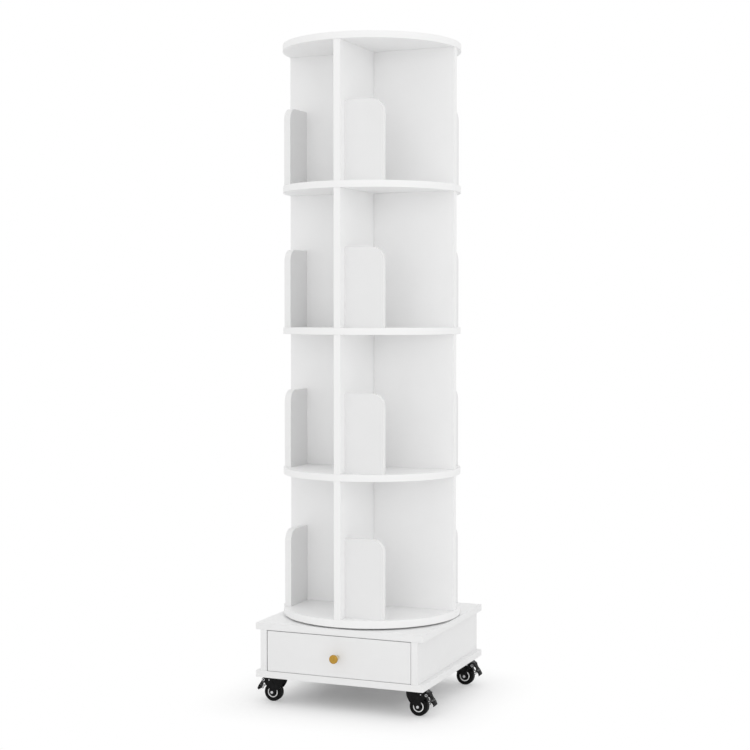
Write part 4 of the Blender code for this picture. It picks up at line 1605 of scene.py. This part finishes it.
@dataclass
class PedalPlate(PedalPart):
    """The pressed plate of the pedal. Its stretches are ways down the pedal from the pivot."""

    face: float = 5.2
    head_top: float = 11.6
    head_foot: float = 4.4
    head_lean: float = 3.6
    head_bend: float = 5.0
    head_end: float = 3.0
    length: float = 28.5
    lip: Pair = (0.2, 3.6)  # further down, and in
    lip_start: float = 5.0
    lip_bend: float = 2.6
    neck_depth: float = 0.8
    neck_at: float = 8.5
    neck_width: float = 2.5
    foot_growth: float = 2.0
    foot_rise: Pair = (11.0, 15.5)
    tip_length: float = 6.0
    tip_share: float = 0.36
    tip_power: float = 2.6
    flange: float = 1.35
    flange_bend: float = 1.2
    ear_depth: float = 5.5
    ear_width: float = 3.6
    lug_depth: float = 2.3
    lug_rise: Pair = (11.0, 13.5)
    lug_fall: Pair = (17.5, 20.5)
    rib_height: float = 0.7
    rib_width: float = 2.4
    rib_rise: Pair = (2.0, 8.0)
    rib_fall: Pair = (20.5, 26.5)
    tread_height: float = 0.6
    tread_width: float = 0.9
    tread_power: int = 6
    treads: Pair = (16.5, 20.5)
    straight_inset: float = 1.0
    straight_points: int = 60
    flat_steps: int = 18
    flange_steps: int = 5
    bend_steps: int = 8

    def profile(self) -> Array:
        """The line that the plate follows: a head that leans in, a straight part and a lip.

        Returns:
            Way down the pedal and out of its face, shape (n, 2).
        """
        end = self.length - self.plate_sheet / 2
        start, stop = self.head_end, end - self.lip_start
        head = [(-self.head_top, -self.head_lean), (-self.head_foot, 0.0), (start, 0.0)]
        lip = [(stop, 0.0), (end, 0.0), (end + self.lip[0], -self.lip[1])]
        inset, points = self.straight_inset, self.straight_points
        straight = np.linspace(start + inset, stop - inset, points)
        middle = np.stack([straight, 0 * straight], axis=-1)
        upper = rounded_line(head, self.head_bend, self.bend_steps)
        lower = rounded_line(lip, self.lip_bend, self.bend_steps)
        return np.concatenate([upper, middle, lower])

    def half_width(self, along: Array) -> Array:
        """Half the width: drawn in by a bell curve to a neck, and eased out to a wider foot.

        In the tip it is multiplied by the root of one less a power of the way into the tip.

        Args:
            along: Way down the pedal.

        Returns:
            Half the width there.
        """
        tip = np.clip((along - self.length + self.tip_length) / self.tip_length, 0.0, 1.0)
        half = self.plate_half - self.plate_sheet / 2
        half = half + self.foot_growth * ease(along, *self.foot_rise)
        half = half - self.neck_depth * bell(along - self.neck_at, self.neck_width)
        return half * np.sqrt(1 - self.tip_share * tip**self.tip_power)

    def flange_depth(self, along: Array, share: Array) -> Array:
        """Depth of the flanges, more by a bell curve about the pivot, where the pin goes through.

        The flange beside the spring has a lug, a step that eases in and out.

        Args:
            along: Way down the pedal, shape (n, 1).
            share: Way across the plate, from minus one to one.

        Returns:
            Depths of shape (n, columns).
        """
        lug = self.lug_depth * ease(along, *self.lug_rise) * (1 - ease(along, *self.lug_fall))
        deep = self.flange + self.ear_depth * bell(along, self.ear_width)
        return deep + lug * (share * self.corner.way < 0)

    def relief(self, along: Array, across: Array, half: Array) -> Array:
        """Height of a soft rib along the middle and of two low treads across the lower half.

        All are bell curves. The rib eases in and out, and the treads fade to the sides by a power.

        Args:
            along: Way down the pedal, shape (n, 1).
            across: Way along the pin, shape (n, columns).
            half: Half the width, shape (n, 1).

        Returns:
            Heights of shape (n, columns).
        """
        rib = ease(along, *self.rib_rise) * (1 - ease(along, *self.rib_fall))
        tread = sum(bell(along - place, self.tread_width) for place in self.treads)
        raised = self.rib_height * rib * bell(across, self.rib_width)
        return raised + self.tread_height * tread * (1 - np.abs(across / half) ** self.tread_power)

    def plate(self) -> Draft:
        """The middle surface of the sheet: a section carried along the profile, square to it.

        The section is flat, with a quarter circle and a flange on either side.

        Returns:
            The draft.
        """
        line, bend = self.profile(), self.flange_bend
        way = unit(np.gradient(line, axis=0))
        along = line[:, :1]
        half = self.half_width(along)
        flat = np.linspace(-1.0, 1.0, self.flat_steps + 1)[1:-1]
        arc = np.concatenate([[QUARTER], np.linspace(QUARTER, 0.0, self.flange_steps + 1)])
        turn = np.concatenate([arc, 0 * flat, arc[::-1]])
        share = np.concatenate([0 * arc - 1, flat, 0 * arc + 1])
        across = (half - bend) * share + bend * np.sign(share) * np.sin(turn)
        free = np.zeros_like(share)
        free[[0, -1]] = 1.0
        fall = bend * (1 - np.cos(turn)) + free * (self.flange_depth(along, share) - bend)
        fall = fall - self.relief(along, across, half)
        down = along + fall * way[:, 1:]
        out = self.face - self.plate_sheet / 2 + line[:, 1:] - fall * way[:, :1]
        return Draft().grid(self.world(self.on_pedal(down, out, across)))

    def build(self, shop: Workshop) -> None:
        """Builds and dresses the plate.

        Args:
            shop: Workshop that keeps the pieces.
        """
        pedal = f"{self.name}_pedal"
        plate = shop.keep(self.plate(), f"{pedal}_plate", self.body, Look.PEDAL, pedal)
        thicken(plate, self.plate_sheet, self.sheet_edge)


@dataclass
class BrakeShoe(PedalPart):
    """The brake shoe: a bent strip that stands off the tyre."""

    sheet: float = 2.2
    half: float = 6.1
    shift: float = 1.5
    gap: float = 1.4
    tyre_room: float = 0.18
    root: Pair = (-1.2, -2.9)
    straight: Pair = (9.5, 1.6)  # its ends above the place nearest the tyre
    end: Pair = (0.3, 0.5)  # above that place, and out
    bends: Pair = (4.0, 2.0)
    tip_length: float = 4.0
    tip_share: float = 0.4
    tip_power: float = 2.4
    rows: int = 30
    columns: int = 13
    bend_steps: int = 10

    def strip(self) -> Draft:
        """The middle surface of the sheet: a line carried along the axle.

        The line runs from the pedal's boss, bends to pass the tyre at an even gap and turns out a
        little at its end. The strip is off the middle, to leave room for the spring, and its
        corners draw in towards the end.

        Returns:
            The draft.
        """
        down, out = self.slope_axes
        room = self.wheel_radius + self.tyre_room + self.gap + self.sheet / 2
        near = np.subtract(self.axle, self.pivot) + out * room
        corners = [self.root, *(near - above * down for above in self.straight)]
        corners += [near - self.end[0] * down + self.end[1] * out]
        line = rounded_line(corners, self.bends, self.bend_steps)
        gaps = np.linalg.norm(np.diff(line, axis=0), axis=-1)
        length = np.concatenate([[0.0], np.cumsum(gaps)])
        even = np.linspace(0.0, length[-1], self.rows)[:, None]
        tip = np.clip((even - length[-1]) / self.tip_length + 1, 0.0, 1.0)
        half = self.half * np.sqrt(1 - self.tip_share * tip**self.tip_power)
        y = np.linspace(-1.0, 1.0, self.columns) * half + self.corner.way * self.shift
        x, z = (np.interp(even, length, line[:, i]) + self.pivot[i] + 0 * y for i in (0, 1))
        return Draft().grid(self.world(np.stack([x, y, z], axis=-1)))

    def build(self, shop: Workshop) -> None:
        """Builds and dresses the shoe."""
        shoe = shop.keep(self.strip(), f"{self.name}_brake_shoe", self.body, Look.PAINT)
        thicken(shoe, self.sheet, self.sheet_edge)


@dataclass
class PedalPin(PedalPart):
    """The boss of the pedal, and the hollow pin through it."""

    boss_radius: float = 3.6
    boss_room: float = 0.1
    boss_edge: float = 0.5
    inner: float = 1.7
    outer: float = 2.0
    head: float = 3.1
    head_room: float = 0.3
    radii: tuple[float, ...] = (0.7, 0.6, 0.2, 0.1)  # from the bore to the tube
    boss_steps: int = 32
    pin_steps: int = 36

    def boss(self) -> Draft:
        """The boss: a cylinder with rounded ends, between the flanges of the plate.

        Returns:
            The draft.
        """
        half = self.plate_half - self.plate_sheet - self.boss_room
        corners = [(0.0, -half), (self.boss_radius, -half), (self.boss_radius, half), (0.0, half)]
        line = rounded_line(corners, self.boss_edge, EDGE_STEPS)
        return self.turned_y(Draft(), line, self.pivot, self.boss_steps)

    def pin(self) -> Draft:
        """The pin: a tube with a rolled head at each end, turned as one section.

        Returns:
            The draft.
        """
        start = self.fork_half + self.head_room
        top = start + self.rivet_head
        inner, outer, head = self.inner, self.outer, self.head
        lower = np.array([(inner, -top), (head, -top), (head, -start), (outer, -start)])
        radii = [*self.radii, *self.radii[::-1]]
        section = Outline.polygon(mirrored(lower), radii, EDGE_STEPS)
        return self.turned_y(Draft(), section.closed, self.pivot, self.pin_steps)

    def build(self, shop: Workshop) -> None:
        """Builds and dresses the boss and the pin.

        Args:
            shop: Workshop that keeps the pieces.
        """
        pedal = f"{self.name}_pedal"
        shop.keep(self.boss(), f"{pedal}_barrel", self.body, Look.PAINT)
        shop.keep(self.pin(), f"{pedal}_eyelet", self.body, Look.RIVET)


@dataclass
class ReturnSpring(PedalPart):
    """The return spring beside the brake shoe, on the front side of every caster."""

    coil_radius: float = 4.4
    wire_radius: float = 0.75
    turns: float = 1.0
    pitch: float = 1.55
    beside: float = 5.45
    eye_radius: float = 2.1
    eye_at: float = 14.2
    eye_in: float = 1.6
    hook_at: float = 18.9
    hook_in: float = 2.1
    leg_gap: float = 0.6
    sink_start: float = 2.0
    coil_points: int = 64
    leg_points: tuple[int, int] = (18, 12)  # above and below the eye
    eye_steps: int = 24
    hook_steps: int = 19
    sides: int = 10
    pin_way: Triple = (0.0, 1.0, 0.0)

    def wound(self) -> Draft:
        """The wire: a coil round the boss, a leg down the pedal with an eye in it, and a hook.

        The coil is a helix about the pivot. The leg leaves it at a tangent and sinks in smoothly on
        its way down. The eye is a full circle in the leg and the hook three quarters of one, each
        drawn out along the pin so that the wire passes itself.

        Returns:
            The draft.
        """
        coil, eye, pitch = self.coil_radius, self.eye_radius, self.pitch
        beside, eye_at, hook_at = self.beside, self.eye_at, self.hook_at
        t = np.linspace(-TAU * self.turns, 0.0, self.coil_points)
        upper = np.linspace(self.leg_gap, eye_at, self.leg_points[0])
        circle = np.linspace(0.0, TAU, self.eye_steps + 1)[1:]
        lower = np.linspace(eye_at + self.leg_gap, hook_at, self.leg_points[1])
        hook = np.linspace(0.0, 3 * QUARTER, self.hook_steps + 1)[1:]
        upper_in = self.eye_in * ease(upper, self.sink_start, eye_at)
        lower_in = self.eye_in + (self.hook_in - self.eye_in) * ease(lower, eye_at, hook_at)
        along = [coil * np.sin(t), upper, eye_at + eye * np.sin(circle), lower]
        along += [hook_at + eye * np.sin(hook)]
        out = [-coil * np.cos(t), -coil - upper_in, eye * (1 - np.cos(circle)) - coil - self.eye_in]
        out += [-coil - lower_in, eye * (1 - np.cos(hook)) - coil - self.hook_in]
        side = [beside - pitch * t / TAU, beside + 0 * upper, beside + pitch * circle / TAU]
        side += [beside + pitch + 0 * lower, beside + pitch - pitch * hook / TAU]
        down, off, across = (np.concatenate(values) for values in (along, out, side))
        path = self.on_pedal(down, off, -self.corner.way * across)
        grid = wire(path, self.wire_radius, self.sides, self.pin_way)
        return Draft().grid(self.world(grid), wrapped=True)

    def build(self, shop: Workshop) -> None:
        """Builds and dresses the spring."""
        shop.keep(self.wound(), f"{self.name}_return_spring", self.body, Look.SPRING)


@dataclass
class Caster(Assembly):
    """One swivel caster with a brake."""

    corner: Corner

    def build(self, shop: Workshop) -> None:
        """Builds and dresses the parts of this caster from the plate down.

        Args:
            shop: Workshop that keeps the pieces.
        """
        parts = (CasterPlate, Fork, ForkRivets, Wheel, PedalPlate, BrakeShoe, PedalPin)
        for part in (*parts, ReturnSpring):
            part(self.corner).build(shop)


@dataclass(frozen=True)
class Lamp:
    """A soft square lamp that looks at the middle of the bookcase."""

    name: str
    place: Triple
    side: float
    level: float

    def build(self, target: Vector) -> None:
        """Hangs the lamp, turns it to the target and lights a face there to its level.

        A square lamp of power p at distance d lights a white face to p / (pi squared * d squared).

        Args:
            target: Point that the lamp looks at.
        """
        ray = target - Vector(self.place)
        light = bpy.data.lights.new(self.name, "AREA")
        light.size = self.side
        light.energy = self.level * (math.pi * ray.length) ** 2
        lamp = bpy.data.objects.new(self.name, light)
        lamp.location = self.place
        lamp.rotation_euler = ray.to_track_quat("-Z", "Y").to_euler()
        bpy.context.scene.collection.objects.link(lamp)


@dataclass
class Studio:
    """A pale floor, a white surround, soft lamps and the camera of the photograph."""

    ambient: float = 0.842
    floor_half: float = 9.0
    floor_tones: tuple[Triple, Triple] = (grey(0.9), grey(0.89))
    floor_rough: Pair = (0.6, 0.7)
    floor_waves: float = 30
    fade: Pair = (0.08, 0.37)  # distance over which the floor turns white
    squareness: float = 4.0  # power in that distance
    camera_place: Triple = (1.3438, -3.2691, 0.8653)
    camera_yaw: float = 0.38693
    camera_pitch: float = 0.03996
    focal_pixels: float = 1568.04
    image_side: float = 750.0
    sensor: float = 36.0
    far: float = 100.0
    target: Triple = (0.0, 0.0, 0.7)
    lamps: tuple[Lamp, ...] = (
        Lamp("front", (0.8, -4.6, 1.4), 3.0, 0.06),
        Lamp("right", (4.2, -1.6, 1.6), 3.0, 0.07),
        Lamp("top", (0.0, -0.6, 4.6), 3.6, 0.13),
    )

    def seen_rays(self, tree: bpy.types.NodeTree) -> Socket:
        """One for camera, glossy and transmission rays, and zero for the rest.

        Args:
            tree: Node tree to add the nodes to.

        Returns:
            The sum of the three, at most one.
        """
        path = tree.nodes.new("ShaderNodeLightPath")
        total = path.outputs["Is Camera Ray"]
        for name in ("Is Glossy Ray", "Is Transmission Ray"):
            largest = tree.nodes.new("ShaderNodeMath")
            largest.operation = "MAXIMUM"
            tree.links.new(total, largest.inputs[0])
            tree.links.new(path.outputs[name], largest.inputs[1])
            total = largest.outputs[0]
        return total

    def surround(self) -> None:
        """A world that looks white and lights the object at the ambient level."""
        world = bpy.data.worlds.new("surround")
        world.use_nodes = True
        bpy.context.scene.world = world
        tree = world.node_tree
        tree.nodes.clear()
        output = tree.nodes.new("ShaderNodeOutputWorld")
        mix = tree.nodes.new("ShaderNodeMixShader")
        tree.links.new(self.seen_rays(tree), mix.inputs[0])
        for number, strength in ((1, self.ambient), (2, 1.0)):
            light = tree.nodes.new("ShaderNodeBackground")
            light.inputs["Color"].default_value = WHITE
            light.inputs["Strength"].default_value = strength
            tree.links.new(light.outputs[0], mix.inputs[number])
        tree.links.new(mix.outputs[0], output.inputs["Surface"])

    def floor(self) -> None:
        """A flat floor that keeps the shadow and turns to plain white away from the base.

        The distance is the fourth root of x to the fourth plus y to the fourth, so lines of equal
        distance are squares with round corners, as the base is. Only camera, glossy and
        transmission rays see the white.
        """
        x, y = np.meshgrid(*[(-self.floor_half, self.floor_half)] * 2)
        floor = Draft().grid(np.stack([x, y, 0 * x], axis=-1)).to_object("floor")
        if floor.data.polygons[0].normal.z < 0:
            floor.data.flip_normals()
        bench = Bench("floor_sheet")
        grain = bench.noise(self.floor_waves, octaves=3)
        colour = bench.mixed(bench.spread(grain, 0, 1), *self.floor_tones)
        bench.dress(colour, bench.spread(grain, *self.floor_rough))
        axes = bench.add("ShaderNodeSeparateXYZ", {0: bench.place}).outputs
        sides = [bench.math("ABSOLUTE", axes[i]) for i in (0, 1)]
        powers = [bench.math("POWER", side, self.squareness) for side in sides]
        away = bench.math("POWER", bench.math("ADD", *powers), 1 / self.squareness)
        share = bench.spread(away, 0, 1, *self.fade)
        share = bench.math("MULTIPLY", share, self.seen_rays(bench.tree))
        glow = bench.add("ShaderNodeEmission", {"Color": WHITE, "Strength": 1.0}).outputs[0]
        inputs = {0: share, 1: bench.shader.outputs[0], 2: glow}
        mix = bench.add("ShaderNodeMixShader", inputs).outputs[0]
        bench.feed(bench.tree.nodes["Material Output"].inputs["Surface"], mix)
        floor.data.materials.append(bench.material)

    def camera(self) -> None:
        """The photograph's camera, fitted to its edges as a pinhole with a square image."""
        lens = bpy.data.cameras.new("camera")
        lens.sensor_width = self.sensor
        lens.lens = self.focal_pixels / self.image_side * self.sensor
        lens.clip_end = self.far
        camera = bpy.data.objects.new("camera", lens)
        camera.location = self.camera_place
        yaw, pitch = self.camera_yaw, self.camera_pitch
        level = math.cos(pitch)
        forward = Vector((-math.sin(yaw) * level, math.cos(yaw) * level, -math.sin(pitch)))
        camera.rotation_euler = forward.to_track_quat("-Z", "Y").to_euler()
        bpy.context.scene.collection.objects.link(camera)
        bpy.context.scene.camera = camera

    def build(self) -> None:
        """Builds the surround, the floor, the lamps and the camera."""
        bpy.context.scene.view_settings.view_transform = "Standard"
        self.surround()
        self.floor()
        for lamp in self.lamps:
            lamp.build(Vector(self.target))
        self.camera()


def main() -> None:
    """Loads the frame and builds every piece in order."""
    logging.basicConfig(level=logging.INFO, format="%(message)s")
    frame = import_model()
    Studio().build()
    shop = Workshop(frame)
    for part in (ShelfTower(), BaseCase(), Drawer(), *(Caster(corner) for corner in Corner)):
        part.build(shop)
    LOG.info("boxes written")


if __name__ == "__main__":
    main()
